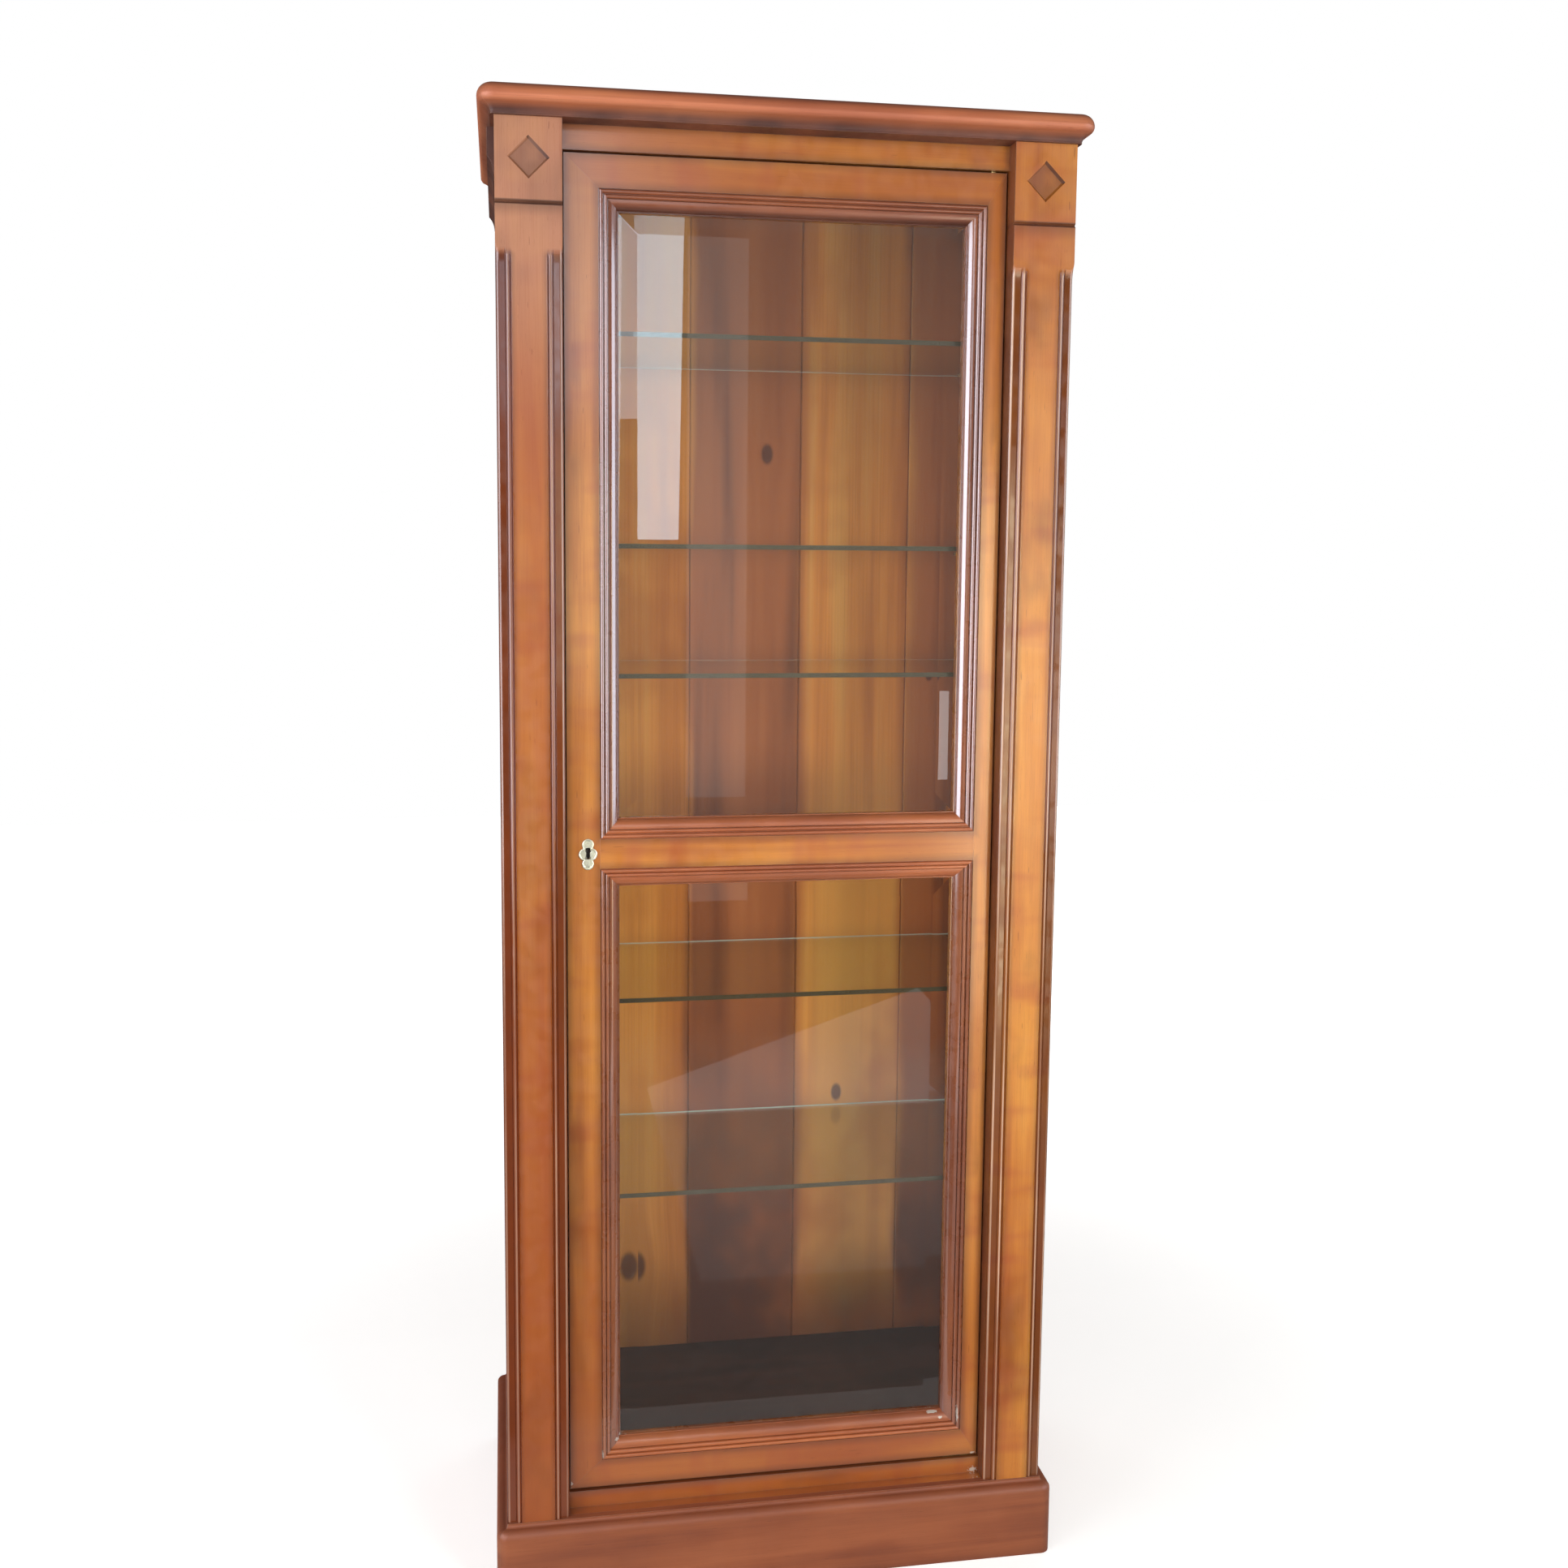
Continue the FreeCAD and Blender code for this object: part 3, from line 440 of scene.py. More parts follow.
def diamond_wall_shadows(shader):
    """Painted shadow on the upper right and lower right wall of each sunk diamond."""
    x = shader.axis("X")
    across = shader.minus(x, shader.times(shader.math("SIGN", x), PILASTER_MIDDLE))
    up = shader.minus(shader.axis("Z"), DIAMOND_Z)
    rising, falling = shader.plus(across, up), shader.minus(across, up)
    within = shader.below(shader.largest(shader.absolute(rising), shader.absolute(falling)), DIAMOND_HALF)
    wall = shader.largest(shader.remap(rising, DIAMOND_HALF - 0.0060, DIAMOND_HALF - 0.0035, 0.0, 0.80),
                          shader.remap(falling, DIAMOND_HALF - 0.0030, DIAMOND_HALF - 0.0015, 0.0, 0.45))
    return shader.times(within, wall)


def pilaster_glaze_and_shade(shader, places):
    """Glaze on sunk faces, beside the arrises and in and under the groove; painted shade on the inner sides
    and the diamonds' walls, and a painted highlight in each diamond.
    """
    sunk = shader.remap(places.depth, 0.0003, 0.0026, 0.0, 0.48)
    # Painted shade on the inner side faces, beside the door's gap.
    inner_side_shade = shader.remap(places.from_inner, 0.0002, 0.0006, 0.62, 0.0)
    beside = shader.remap(places.from_side, ARRIS_WIDTH, ARRIS_WIDTH + 0.009, 0.34, 0.0)
    drop = shader.minus(GROOVE_Z, shader.axis("Z"))
    under = shader.times(shader.remap(drop, 0.001, 0.022, 0.44, 0.0), shader.above(drop, 0.0))
    line = shader.remap(shader.absolute(shader.minus(shader.axis("Z"), GROOVE_Z)), 0.0022, 0.0045, 0.75, 0.0)
    amount = shader.largest(sunk, inner_side_shade, shader.times(beside, places.below_top), under, line)
    # Less glaze in the diamonds' painted highlight.
    amount = shader.times(amount, shader.minus(1.0, diamond_highlights(shader)))
    # Painted shadow on the diamonds' walls.
    amount = shader.largest(amount, diamond_wall_shadows(shader))
    for left, right, strength in ((-HALF_WIDTH, -INNER_X, 0.8), (INNER_X, HALF_WIDTH, 0.5)):
        clouds = stained(shader, (left, right, 0.0, HEIGHT))
        amount = shader.largest(amount, shader.times(clouds, strength))
    return amount


def crown_highlights(shader, places):
    """Painted highlights: pale lines along the crown of the bead and of the corner, broken up, strongest on
    the inner arrises and at the right.
    """
    crown = shader.smallest(*[shader.absolute(shader.minus(places.from_side, middle))
                              for middle in (BEAD_MIDDLE, CORNER_MIDDLE)])
    handled = shader.remap(shader.noise((20.0, 20.0, 3.0), detail=2.0, shift=5.2), 0.35, 0.60, 0.35, 1.0)
    return shader.times(shader.remap(crown, 0.0004, 0.0016, 0.50, 0.0), places.below_top, handled,
                        shader.remap(places.depth, 0.004, 0.006, 1.0, 0.0),
                        shader.remap(places.from_inner, 0.030, 0.050, 1.0, 0.70),
                        shader.remap(shader.axis("X"), -INNER_X, INNER_X, 0.80, 1.60))


def pilaster_wood():
    """Flats in cherry, with the moulded arrises, diamond and groove left dark by the glaze, painted shade on
    the left pilaster and the inner sides, and painted highlights on the arrises and diamonds.
    """
    shader = Shader("pilaster_cherry")
    places = PilasterPlaces(shader)
    colour, fibre, pores = wood_colour(shader, "Z", FLAT, mottle=0.52)
    # Dark red stain on the arrises, with painted shade on the outer and left ones.
    colour = shader.mix(red_and_shaded_arrises(shader, places), colour, ARRIS_RED_AND_SHADE)
    # Painted shade: the left pilaster darker, less so at the top.
    dull = shader.times(shader.remap(shader.axis("X"), -HALF_WIDTH, HALF_WIDTH, 0.60, 0.0),
                        shader.remap(shader.axis("Z"), 1.45, 1.70, 1.0, 0.10))
    colour = shader.mix(dull, colour, FLAT[DEEP])
    colour = glazed_and_shaded(shader, colour, pilaster_glaze_and_shade(shader, places), reach=0.005, strength=0.35)
    # Painted highlights along the arrises' crowns.
    colour = shader.mix(crown_highlights(shader, places), colour, WORN_AND_HIGHLIGHT)
    polish = shader.times(shader.remap(places.from_side, ARRIS_WIDTH, ARRIS_WIDTH + 0.003, 0.24, 0.0),
                          shader.remap(places.depth, 0.005, 0.009, 1.0, 0.0), places.below_top)
    return varnished(shader, colour, fibre, pores, coat=0.0, softness=0.0006, relief_strength=0.05,
                     polish=polish)


LEVEL_FINISH = {"roughness": 0.36, "coat": 0.7, "coat_roughness": 0.20}
UPRIGHT_FINISH = {"roughness": 0.30, "coat": 1.0, "coat_roughness": 0.10, "coat_ior": 1.9}


def moulding_wood(name, grain, chips):
    """Darker mouldings of the door, the glaze darkest towards the glass. The level ones are warmer, but with
    painted shade above the upper pane."""
    shader = Shader(name)
    level = grain == "X"
    tones, finish = (LEVEL_MOULDING, LEVEL_FINISH) if level else (UPRIGHT_MOULDING, UPRIGHT_FINISH)
    colour, fibre, pores = wood_colour(shader, grain, tones, figure=0.7, flecked=False)
    depth = shader.minus(shader.axis("Y"), DOOR_Y)
    sunk = shader.remap(depth, -0.0004, 0.0100, 0.0, 0.25)
    if level:
        # Painted shade on the level mouldings above the upper pane.
        high = shader.remap(shader.axis("Z"), 1.60, 1.75)
        colour = shader.mix(shader.times(high, 0.50), colour, UPRIGHT_MOULDING[DEEP])
        sunk = shader.largest(sunk, shader.times(high, shader.remap(depth, 0.0020, 0.0090, 0.0, 0.75)))
    colour = glazed_and_shaded(shader, colour, sunk, reach=0.004, strength=0.28, broad_shade=0.10 if level else 0.14,
                    rub_and_highlight=0.10 if level else 0.15, samples=FINE_SAMPLES)
    colour = shader.mix(shader.times(spots(shader, chips), 0.9), colour, CHIP)
    return varnished(shader, colour, fibre, pores, softness=0.0004, relief_strength=0.02, **finish)


def cornice_wood(name, grain, tones=CORNICE):
    """Redder wood, with painted shade under the nose, and dark along its top."""
    shader = Shader(name)
    colour, fibre, pores = wood_colour(shader, grain, tones)
    z = shader.axis("Z")
    # Painted shade under the nose.
    under = shader.remap(z, CORNICE_NOSE_Z - 0.006, CORNICE_NOSE_Z + 0.009, 0.86, 0.0)
    under = shader.times(under, shader.above(z, HEIGHT / 2))
    under = shader.largest(under, shader.remap(z, HEIGHT - 0.010, HEIGHT - 0.002, 0.0, 0.40))
    colour = glazed_and_shaded(shader, colour, under)
    return varnished(shader, colour, fibre, pores, roughness=0.52, coat=0.15, coat_roughness=0.35, ior=1.4)


# Back boards

def knotted(shader, knots):
    """Bends the grain round the knots, each given as x, z and size, and gives 1 in their dark cores."""
    x, z = shader.axis("X"), shader.axis("Z")
    bend = 0.0
    core = 0.0
    for knot_x, knot_z, size in knots:
        across, squared = squared_distance(shader, knot_x, knot_z, size, size * KNOT_TALLNESS)
        distance = shader.math("SQRT", squared)
        core = shader.largest(core, shader.remap(distance, 0.55, 1.0, 1.0, 0.0))
        near = shader.remap(distance, 1.0, 4.5, 1.0, 0.0)
        side = shader.times(near, shader.over(across, shader.plus(distance, 0.6)))
        bend = shader.plus(bend, shader.times(side, size * 0.8))
    bent = shader.add("CombineXYZ", {0: shader.minus(x, bend), 1: shader.axis("Y"), 2: z})
    shader.place = bent.outputs[0]
    return core


def board_growth(shader):
    """Slow growth rings, other ones on each board."""
    from_left = shader.plus(shader.axis("X"), BACK_BOARD_WIDTH * BACK_BOARD_COUNT / 2)
    board = shader.math("FLOOR", shader.over(from_left, BACK_BOARD_WIDTH))
    return shader.add("TexNoise", {"Vector": shader.stretched((20.0, 20.0, 0.9)), "Scale": 1.0,
                                   "W": shader.times(board, BOARD_SHIFT), "Detail": 3.0, "Distortion": 0.5},
                      noise_dimensions="4D").outputs[0]


def umber_stripes(shader):
    """The middle board is stained dark and the outer two are darker, faintly so behind, with wandering edges.
    """
    wander = shader.noise((2.0, 2.0, 2.6), detail=2.0, shift=6.6)
    strayed = shader.plus(shader.axis("X"), shader.times(shader.minus(wander, 0.5), 0.05))
    middle = shader.smallest(shader.remap(strayed, -0.090, -0.070, 0.0, 1.0),
                             shader.remap(strayed, 0.070, 0.115, 1.0, 0.0))
    outer = shader.remap(shader.absolute(strayed), 0.232, 0.262, 0.0, 0.9)
    behind = shader.above(shader.axis("Y"), sum(end[1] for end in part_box("back_boards")) / 2)
    return shader.times(shader.largest(middle, outer), shader.remap(behind, 0.0, 1.0, 1.0, 0.25))


def stained_lit_and_shaded_boards(shader, colour, dark):
    """Painted light at the left and at the lower right, painted shade at the top and at the bottom, with
    clouds of stain.
    """
    x, z = shader.axis("X"), shader.axis("Z")
    # Painted light: pools of light on the left and at the lower right.
    painted_light_left = shader.times(shader.remap(x, -0.24, -0.10, 0.40, 0.0), shader.remap(z, 1.30, 1.42, 1.0, 0.0))
    colour = shader.mix(painted_light_left, colour, HONEY[LIGHT])
    bright = shader.times(shader.remap(x, 0.08, 0.13, 0.0, 0.45), shader.remap(z, 0.92, 1.10, 1.0, 0.0),
                          shader.remap(dark, 0.0, 1.0, 1.0, 0.0))
    colour = shader.mix(bright, colour, HONEY[LIGHT])
    # Painted shade at the top and at the bottom.
    colour = shader.mix(shader.remap(z, 1.35, 1.75, 0.0, 0.32), colour, UMBER[DEEP])
    low = shader.times(shader.remap(z, 0.20, 0.90, 0.95, 0.0), shader.remap(dark, 0.0, 1.0, 0.12, 1.0))
    foot = shader.times(shader.remap(z, 0.14, 0.34, 0.90, 0.0), shader.remap(x, -0.25, 0.20, 0.65, 1.0))
    colour = shader.mix(shader.largest(low, foot), colour, UMBER[DEEP])
    clouds = shader.noise((5.0, 5.0, 4.0), detail=3.0, roughness=0.6, shift=3.3)
    return shader.mix(shader.remap(clouds, 0.45, 0.70, 0.0, 0.50), colour, HONEY[DEEP])


def back_board_wood(knots):
    """Knotty boards, the middle one stained dark and the outer two darker, with painted light and shade, and
    painted shade in the corners.
    """
    shader = Shader("knotty_back_boards")
    core = knotted(shader, knots)
    growth = board_growth(shader)
    honey, umber = [shader.ramp(growth, [(0.22, tones[DEEP]), (0.50, tones[MID]), (0.80, tones[LIGHT])])
                    for tones in (HONEY, UMBER)]
    dark = umber_stripes(shader)
    lines = shader.noise((420.0, 420.0, 3.0), detail=2.0, shift=2.6)
    colour = shader.mix(shader.remap(lines, 0.45, 0.75, 0.0, 0.25), shader.mix(dark, honey, umber),
                        HONEY[DEEP])
    colour = stained_lit_and_shaded_boards(shader, colour, dark)
    colour = shader.mix(shader.times(core, 0.85), colour, UMBER[DEEP])
    # Painted shade in the cabinet's corners.
    colour = shader.mix(shader.remap(shader.crevice(0.06), 0.25, 0.95, 0.0, 0.5), colour, GLAZE_AND_SHADE)
    return shader.finish(shader.principled({
        "Base Color": colour, "Roughness": shader.remap(lines, 0.3, 0.7, 0.52, 0.66),
        "Specular IOR Level": 0.15, "Normal": shader.bump(lines, 0.18)}))


def inside_wood(name, grain, tones=INSIDE):
    """Dull dark wood inside the cabinet."""
    shader = Shader(name)
    colour, _, _ = wood_colour(shader, grain, tones, flecked=False)
    colour = glazed_and_shaded(shader, colour, 0.0, reach=0.02, samples=FINE_SAMPLES)
    dust = shader.noise((40.0, 40.0, 40.0), detail=3.0, shift=1.9)
    return shader.finish(shader.principled({
        "Base Color": colour, "Roughness": shader.remap(dust, 0.3, 0.7, 0.5, 0.62),
        "Specular IOR Level": 0.2, "Normal": shader.bump(dust, 0.15)}))


# Glass and metal

def lets_lamps_through(shader, glass):
    """Clear to lamps and to light that has bounced, so that what is behind it is lit."""
    path = shader.add("LightPath")
    clear = shader.largest(path.outputs["Is Shadow Ray"], path.outputs["Is Diffuse Ray"])
    mixed = shader.add("MixShader", {0: clear, 1: glass, 2: shader.add("BsdfTransparent").outputs[0]})
    return shader.finish(mixed.outputs[0])


def pane_glass():
    shader = Shader("bevelled_glass_clear")
    smudge = shader.noise((9.0, 9.0, 4.0), detail=4.0, roughness=0.65)
    return lets_lamps_through(shader, shader.principled({
        "Base Color": PANE_TINT, "Roughness": shader.remap(smudge, 0.5, 0.8, 0.0, 0.02),
        "IOR": 1.5, "Transmission Weight": 1.0}))


def shelf_glass():
    """Clear faces, dark green polished front edge, and pale ground edges behind and beside."""
    shader = Shader("shelf_glass_green")
    x, y = shader.axis("X"), shader.axis("Y")
    front = shader.below(y, SHELF_FRONT_Y + EDGE_DEPTH)
    ground = shader.largest(shader.above(y, SHELF_BACK_Y - EDGE_DEPTH),
                            shader.above(shader.absolute(x), SHELF_SIDE_X - EDGE_DEPTH))
    colour = shader.mix(ground, shader.mix(front, SHELF_TINT, SHELF_FRONT), SHELF_GROUND)
    edge = shader.largest(front, ground)
    return lets_lamps_through(shader, shader.principled({
        "Base Color": colour, "Roughness": shader.times(ground, 0.5), "IOR": 1.5,
        "Transmission Weight": shader.minus(1.0, shader.times(edge, 0.85))}))


def aged_metal(name, tones, roughness, rounding=0.0003):
    """Tarnished metal with dirt in its corners."""
    bright, dull = tones
    shader = Shader(name)
    tarnish = shader.noise((260.0, 260.0, 260.0), detail=4.0, roughness=0.6)
    dirt = shader.remap(shader.crevice(0.0015), 0.15, 0.7, 0.0, 0.85)
    colour = shader.mix(shader.remap(tarnish, 0.35, 0.7, 0.0, 0.7), bright, dull)
    colour = shader.mix(dirt, colour, METAL_DIRT)
    fine = shader.noise((1800.0, 1800.0, 1800.0), detail=2.0, shift=1.3)
    return shader.finish(shader.principled({
        "Base Color": colour, "Metallic": 1.0,
        "Roughness": shader.remap(tarnish, 0.3, 0.7, roughness - 0.08, roughness + 0.12),
        "Normal": shader.rounded(rounding, shader.bump(fine, 0.2, 0.0002))}))


# Materials on the pieces

# Worn spots: x, z, half width and half height
MOULDING_CHIPS = [(-0.2080, 0.1913, 0.0046, 0.0018), (-0.2155, 0.1875, 0.0020, 0.0024),
                  (-0.2350, 0.171, 0.0009, 0.0050), (0.216, 0.187, 0.0060, 0.0012),
                  (0.227, 0.181, 0.0026, 0.0018), (0.2490, 0.188, 0.0009, 0.0110)]
DOOR_CHIPS = [(0.272, 0.129, 0.0040, 0.0012), (-0.276, 0.134, 0.0012, 0.0030)]
RAIL_CHIPS = [(0.272, 0.107, 0.0050, 0.0030)]

# Knots of the back boards: x, z and size
KNOTS = [(-0.161, 0.268, 0.017), (0.149, 0.530, 0.010), (0.032, 1.505, 0.011),
         (-0.270, 0.980, 0.009), (0.285, 1.180, 0.008), (-0.205, 1.250, 0.007)]


def dress(material, *names):
    """Gives one material to every slot of these CAD nodes."""
    for name in names:
        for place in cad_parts[name].material_slots:
            place.material = material


def both(*names):
    return [name + "_" + side for name in names for side in ("left", "right")]


def dress_carcase():
    """Pilasters, sides, cornice and plinth."""
    cornice = {grain: cornice_wood("cornice_" + grain.lower(), grain) for grain in "XY"}
    dress(pilaster_wood(), *both("pilaster"))
    dress(plain_cherry("top_cherry", "X", roughness=0.55), "top_cover")
    side = {grain: plain_cherry("side_cherry_" + grain.lower(), grain, roughness=0.58, ior=1.3)
            for grain in "YZ"}
    dress(side["Y"], *both("side_top_rail", "side_bottom_rail"))
    dress(side["Z"], *both("rear_post", "side_panel"))
    dress(cornice["X"], "cornice_front")
    dress(cornice["Y"], *both("cornice", "side_frieze"))
    dress(cornice_wood("plinth_x", "X", PLINTH), "plinth_front")
    dress(cornice_wood("plinth_y", "Y", PLINTH), *both("plinth"))


def dress_inside():
    inside = {grain: inside_wood("inside_" + grain.lower(), grain) for grain in "XZ"}
    dress(inside["X"], "ceiling_board")
    dress(inside["Z"], "lock_side_stop", "hinge_side_liner", "shelf_battens", "corner_blocks")
    # The floor board's dark tones are painted shade.
    dress(inside_wood("floor_board_shaded", "X", FLOOR_BOARD_SHADE), "floor_board")
    dress(back_board_wood(KNOTS), "back_boards")


def dress_front():
    """Door frame and the rails above and below it."""
    fields = [rectangle(*both(pane + "_moulding")) for pane in ("upper", "lower")]
    door = rectangle("door_lock_stile", "door_hinge_stile")
    for grain, names in (("X", ("door_top_rail", "door_mid_rail", "door_bottom_rail")),
                         ("Z", ("door_lock_stile", "door_hinge_stile"))):
        dress(panelled_cherry("door_cherry_" + grain.lower(), grain, door, fields, DOOR_CHIPS), *names)
    dress(panelled_cherry("frieze_cherry", "X", rectangle("frieze_rail")), "frieze_rail")
    dress(panelled_cherry("bottom_rail_cherry", "X", rectangle("bottom_rail"), chips=RAIL_CHIPS),
          "bottom_rail")
    moulding = {grain: moulding_wood("moulding_" + grain.lower(), grain, MOULDING_CHIPS)
                for grain in "XZ"}
    for pane in ("upper", "lower"):
        dress(moulding["X"], pane + "_moulding_top", pane + "_moulding_bottom")
        dress(moulding["Z"], *both(pane + "_moulding"), pane + "_glass_beads")


def dress_glass():
    dress(pane_glass(), "upper_glass", "lower_glass")
    dress(shelf_glass(), *["shelf_%d" % (index + 1) for index in range(SHELF_COUNT)])


def dress_metal():
    dress(aged_metal("aged_brass", BRASS, 0.34), "hinge_frame_leaves", "hinge_door_leaves",
          "strike_plate", "shelf_pins", "frame_screws", "door_screws")
    dress(aged_metal("satin_steel", STEEL, 0.38), "lock_case", "lock_plate", "lock_bolt")


def add_object(name, data):
    thing = bpy.data.objects.new(name, data)
    bpy.context.scene.collection.objects.link(thing)
    return thing


# Escutcheon

LOBE_RADIUS = 0.0075
LOBE_RISE = 0.0124
SIDE_LOBE_RADIUS = 0.0080
SIDE_LOBE_OUT = 0.0038
RIM_WIDTH = 0.0024
PLATE_THICKNESS = 0.0012
RIM_HEIGHT = 0.0008
KEYHOLE_RADIUS = 0.0036
KEYHOLE_CHAMFER = 0.0003
SLOT_HALF = 0.0024
SLOT_LENGTH = 0.0110
RING_POINTS = 120
RIM_STEPS = 7
SHARP_DEGREES = 40


def lobed_radius(angle, inset):
    """Distance from the plate's middle to its edge, moved in, in that direction."""
    across, up = math.sin(angle), math.cos(angle)
    circles = [(0, hand * LOBE_RISE, LOBE_RADIUS - inset) for hand in (-1, 1)]
    circles += [(hand * SIDE_LOBE_OUT, 0, SIDE_LOBE_RADIUS - inset) for hand in (-1, 1)]
    reach = 0.0
    for x, z, radius in circles:
        ahead = x * across + z * up
        left_over = radius ** 2 - (x * x + z * z - ahead ** 2)
        if left_over > 0:
            reach = max(reach, ahead + math.sqrt(left_over))
    return reach


def keyhole_radius(angle):
    """Distance from the hole's middle to the edge of the hole and its slot, in that direction."""
    across, up = abs(math.sin(angle)), math.cos(angle)
    if up >= 0 or KEYHOLE_RADIUS * across > SLOT_HALF:
        return KEYHOLE_RADIUS
    to_side = SLOT_HALF / across if across > 0 else SLOT_LENGTH
    return max(KEYHOLE_RADIUS, min(to_side, SLOT_LENGTH / -up))


def ring(middle_z, y, radius_at):
    points = []
    for index in range(RING_POINTS):
        angle = 2 * math.pi * index / RING_POINTS
        reach = radius_at(angle)
        points.append((KEYHOLE_X + math.sin(angle) * reach, y, middle_z + math.cos(angle) * reach))
    return points


def escutcheon_rings():
    """Rings of points from the keyhole's wall over the face and the rolled rim to the back."""
    plate_y = DOOR_Y - PLATE_THICKNESS
    rings = [ring(KEYHOLE_Z, DOOR_Y, keyhole_radius),
             ring(KEYHOLE_Z, plate_y + KEYHOLE_CHAMFER, keyhole_radius),
             ring(KEYHOLE_Z, plate_y, lambda angle: keyhole_radius(angle) + KEYHOLE_CHAMFER)]
    for step in range(RIM_STEPS + 1):
        turn = math.pi * step / RIM_STEPS
        inset = RIM_WIDTH * (1 + math.cos(turn)) / 2
        y = plate_y - RIM_HEIGHT * math.sin(turn)
        rings.append(ring(PLATE_Z, y, lambda angle, inset=inset: lobed_radius(angle, inset)))
    rings.append(ring(PLATE_Z, DOOR_Y, lambda angle: lobed_radius(angle, 0)))
    return rings


def closed_skin(rings):
    """Points and faces of a skin that runs over the rings and back to the first."""
    faces = []
    for row in range(len(rings)):
        after = (row + 1) % len(rings)
        for index in range(RING_POINTS):
            beside = (index + 1) % RING_POINTS
            faces.append((row * RING_POINTS + index, row * RING_POINTS + beside,
                          after * RING_POINTS + beside, after * RING_POINTS + index))
    return [point for circle in rings for point in circle], faces


def make_escutcheon():
    """Lobed plate with a rolled rim, and the keyhole through it."""
    points, faces = closed_skin(escutcheon_rings())
    mesh = bpy.data.meshes.new("escutcheon_plate")
    mesh.from_pydata(points, [], faces)
    mesh.validate()
    mesh.shade_smooth()
    mesh.set_sharp_from_angle(angle=math.radians(SHARP_DEGREES))
    plate = add_object("escutcheon_plate", mesh)
    mesh.materials.append(aged_metal("pale_brass", PALE_BRASS, 0.42))
    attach(plate, "door")
    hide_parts("escutcheon")


# Floor and world

FLOOR_REACH = 6.0
FLOOR_LIFT_NEAR = 0.52
FLOOR_LIFT_FAR = 1.05
AMBIENT = 0.26
BACKGROUND = 1.0


def flat_mesh(name, corners):
    mesh = bpy.data.meshes.new(name)
    mesh.from_pydata(corners, [], [(0, 1, 2, 3)])
    return mesh


def floor_paint():
    """Pale grey. The camera sees it lifted towards white, more so away from the part."""
    shader = Shader("pale_floor")
    speck = shader.add("TexNoise", {"Vector": shader.place, "Scale": 30.0, "Detail": 3.0}).outputs[0]
    seen = shader.add("LightPath").outputs["Is Camera Ray"]
    away = shader.add("VectorMath", {0: shader.place}, operation="LENGTH").outputs["Value"]
    lift = shader.remap(away, 0.7, 2.6, FLOOR_LIFT_NEAR, FLOOR_LIFT_FAR)
    return shader.finish(shader.principled({
        "Base Color": shader.ramp(speck, [(0.0, srgb(240, 240, 240)), (1.0, srgb(246, 246, 246))]),
        "Roughness": 0.9, "Emission Color": (1.0, 1.0, 1.0, 1.0),
        "Emission Strength": shader.times(seen, lift)}))


def make_floor():
    mesh = flat_mesh("pale_floor", [(-FLOOR_REACH, -FLOOR_REACH, 0), (FLOOR_REACH, -FLOOR_REACH, 0),
                                    (FLOOR_REACH, FLOOR_REACH, 0), (-FLOOR_REACH, FLOOR_REACH, 0)])
    floor = add_object("pale_floor", mesh)
    mesh.materials.append(floor_paint())


def make_world():
    """Soft white all round. What the camera, gloss and glass see is plain white."""
    world = bpy.data.worlds.new("studio")
    bpy.context.scene.world = world
    world.use_nodes = True
    tree = world.node_tree
    tree.nodes.clear()
    path = tree.nodes.new("ShaderNodeLightPath")
    seen = path.outputs["Is Camera Ray"]
    for name in ("Is Glossy Ray", "Is Transmission Ray"):
        either = tree.nodes.new("ShaderNodeMath")
        either.operation = "MAXIMUM"
        tree.links.new(seen, either.inputs[0])
        tree.links.new(path.outputs[name], either.inputs[1])
        seen = either.outputs[0]
    mixed = tree.nodes.new("ShaderNodeMixShader")
    tree.links.new(seen, mixed.inputs[0])
    for index, strength in enumerate((AMBIENT, BACKGROUND)):
        shade = tree.nodes.new("ShaderNodeBackground")
        shade.inputs["Strength"].default_value = strength
        shade.inputs["Color"].default_value = (1, 1, 1, 1)
        tree.links.new(shade.outputs[0], mixed.inputs[index + 1])
    output = tree.nodes.new("ShaderNodeOutputWorld")
    tree.links.new(mixed.outputs[0], output.inputs["Surface"])


# Lamps: name, place, target, width, height, radiance, colour, and whether gloss and glass show it
LAMPS = [
    ("side_window", (-2.45, -1.60, 1.15), (0, 0, 1.05), 1.5, 1.7, 4.2, (0.95, 0.98, 1.0), True),
    ("front_light", (-0.80, -2.2, 1.10), (0, 0, 1.05), 0.9, 0.8, 4.2, (1.0, 0.98, 0.92), False),
    ("right_light", (0.90, -2.2, 1.02), (0, 0, 1.00), 0.50, 0.8, 16.0, (1.0, 0.97, 0.88), False),
    ("tall_window", (0.133, -3.0, 1.94), (0.133, 0.0, 1.54), 0.155, 1.02, 4.7, (0.74, 0.94, 1.08), True),
    ("rear_light", (-2.3, 2.7, 1.5), (0, 0, 1.0), 1.4, 1.6, 2.4, (1, 1, 1), False),
    ("rear_light", (2.3, 2.7, 1.5), (0, 0, 1.0), 1.4, 1.6, 2.4, (1, 1, 1), False),
]


def lamp(name, place, target, width, height, radiance, colour, mirrored):
    """Rectangular lamp of that radiance, facing its target."""
    data = bpy.data.lights.new(name, "AREA")
    data.shape = "RECTANGLE"
    data.size, data.size_y = width, height
    data.energy = radiance * width * height * math.pi
    data.color = colour
    lamp_object = add_object(name, data)
    lamp_object.location = place
    aim = Vector(target) - Vector(place)
    lamp_object.rotation_euler = aim.to_track_quat("-Z", "Y").to_euler()
    lamp_object.visible_glossy = mirrored
    lamp_object.visible_transmission = mirrored


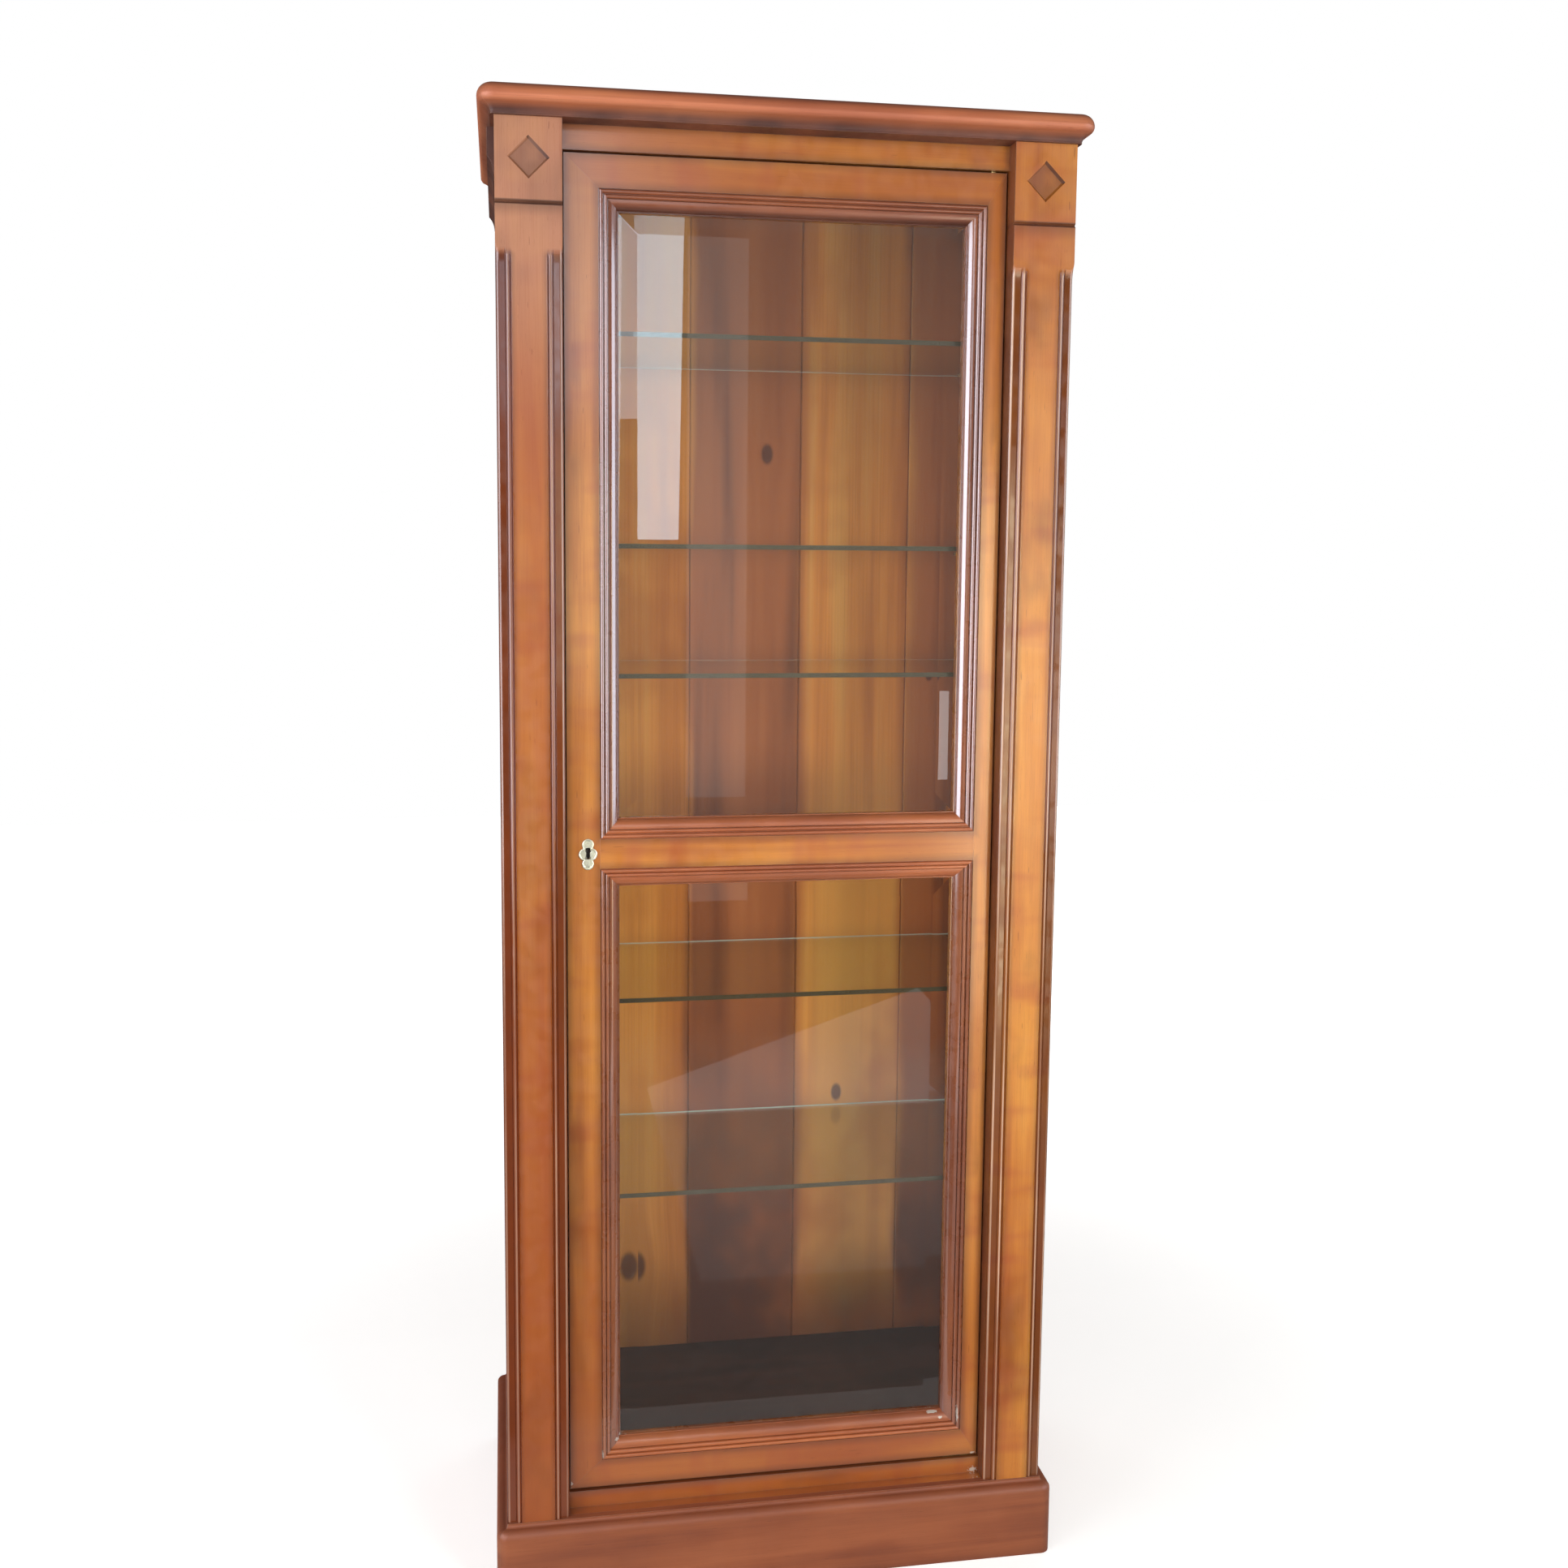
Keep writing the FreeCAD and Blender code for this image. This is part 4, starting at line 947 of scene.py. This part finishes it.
# Room that the varnish and the panes mirror
ROOM_SIDE = 8.0
ROOM_FRONT = -4.6
ROOM_BACK = 5.5
ROOM_TOP = 3.4
WALL_TOP = 6.0
BESIDE_PART = 0.5
OVER_FLOOR = 0.004
LIT_FLOOR_Z = 0.006
DIM = (0.060, 0.046, 0.040)
DIM_CEILING = (0.22, 0.20, 0.19)

PALE_Y = -2.4
SIDE_ROOM_TINT = (0.86, 0.95, 1.10)
SIDE_ROOM_NEAR_Y = -2.7
SIDE_ROOM_FAR_Y = -0.7
SIDE_ROOM_LOW = 0.5
SIDE_ROOM_HIGH = 2.4


def upright(left, right, y, low, high):
    """Corners of an upright rectangle that faces the part."""
    return [(left, y, low), (right, y, low), (right, y, high), (left, y, high)]


def lying(left, right, near, far, z):
    """Corners of a level rectangle."""
    return [(left, near, z), (right, near, z), (right, far, z), (left, far, z)]


def slanted(near, far):
    """Corners of a wall beside the camera, which runs from one x to the other as it goes back."""
    return [(near, SIDE_ROOM_NEAR_Y, SIDE_ROOM_LOW), (far, SIDE_ROOM_FAR_Y, SIDE_ROOM_LOW),
            (far, SIDE_ROOM_FAR_Y, SIDE_ROOM_HIGH), (near, SIDE_ROOM_NEAR_Y, SIDE_ROOM_HIGH)]


def tinted(strength):
    """Bluish white of the walls beside the camera."""
    return [strength * tint for tint in SIDE_ROOM_TINT]


# Cards: name, corners and colour
CARDS = [
    ("dim_wall", upright(-ROOM_SIDE, ROOM_SIDE, ROOM_FRONT, 0, WALL_TOP), DIM),
    ("dim_back", upright(-ROOM_SIDE, ROOM_SIDE, ROOM_BACK, 0, WALL_TOP), DIM),
    ("dim_floor", lying(-ROOM_SIDE, ROOM_SIDE, ROOM_FRONT, -BESIDE_PART, OVER_FLOOR), DIM),
    ("dim_back_floor", lying(-ROOM_SIDE, ROOM_SIDE, BESIDE_PART, ROOM_BACK, OVER_FLOOR), DIM),
    ("dim_ceiling", lying(-ROOM_SIDE, ROOM_SIDE, ROOM_FRONT, ROOM_BACK, ROOM_TOP), DIM_CEILING),
    ("left_room", slanted(-1.25, -2.7), tinted(7.5)),
    ("right_room", slanted(1.55, 3.2), tinted(5.0)),
    ("pale_door", upright(0.97, 1.15, PALE_Y, 0.02, 1.60), (9.0, 8.0, 5.6)),
    ("pale_cloud", upright(-0.36, -0.08, PALE_Y, 1.75, 2.6), (3.8, 4.1, 4.6)),
    ("pale_window", upright(-0.20, -0.08, PALE_Y, 1.00, 1.66), (5.0, 4.9, 3.6)),
    ("pale_band", upright(0.42, 0.68, -4.55, 0.28, 2.83), (0.90, 0.90, 0.88)),
    ("pale_jamb", upright(1.185, 1.215, -2.3, 0.73, 0.99), (5.0, 5.0, 5.0)),
    ("lit_floor", lying(0.0, 0.95, -1.75, -0.9, LIT_FLOOR_Z), (0.36, 0.35, 0.36)),
    ("lit_floor_far", [(0.0, -1.95, LIT_FLOOR_Z), (0.95, -2.75, LIT_FLOOR_Z),
                       (0.95, -1.75, LIT_FLOOR_Z), (0.0, -1.75, LIT_FLOOR_Z)], (1.15, 1.13, 1.15)),
]


def card(name, corners, colour):
    """Board that only gloss sees, so that the varnish and the panes have a room to mirror."""
    mesh = flat_mesh(name, corners)
    board = add_object(name, mesh)
    shader = Shader(name)
    glow = shader.add("Emission", {"Color": (*colour, 1.0), "Strength": 1.0})
    mesh.materials.append(shader.finish(glow.outputs[0]))
    board.visible_camera = False
    board.visible_diffuse = False
    board.visible_shadow = False
    board.visible_transmission = False


def make_camera():
    data = bpy.data.cameras.new("camera")
    data.sensor_width = SENSOR
    data.lens = FOCAL_PIXELS * SENSOR / FRAME_PIXELS
    data.shift_x, data.shift_y = CAMERA_SHIFT
    camera = add_object("camera", data)
    camera.location = CAMERA_PLACE
    camera.rotation_euler = [math.radians(angle) for angle in CAMERA_DEGREES]
    bpy.context.scene.camera = camera


make_camera()
dress_carcase()
dress_inside()
dress_glass()
dress_front()
dress_metal()
make_escutcheon()
make_floor()
make_world()
for settings in LAMPS:
    lamp(*settings)
for settings in CARDS:
    card(*settings)

bpy.context.scene.view_settings.view_transform = "Standard"
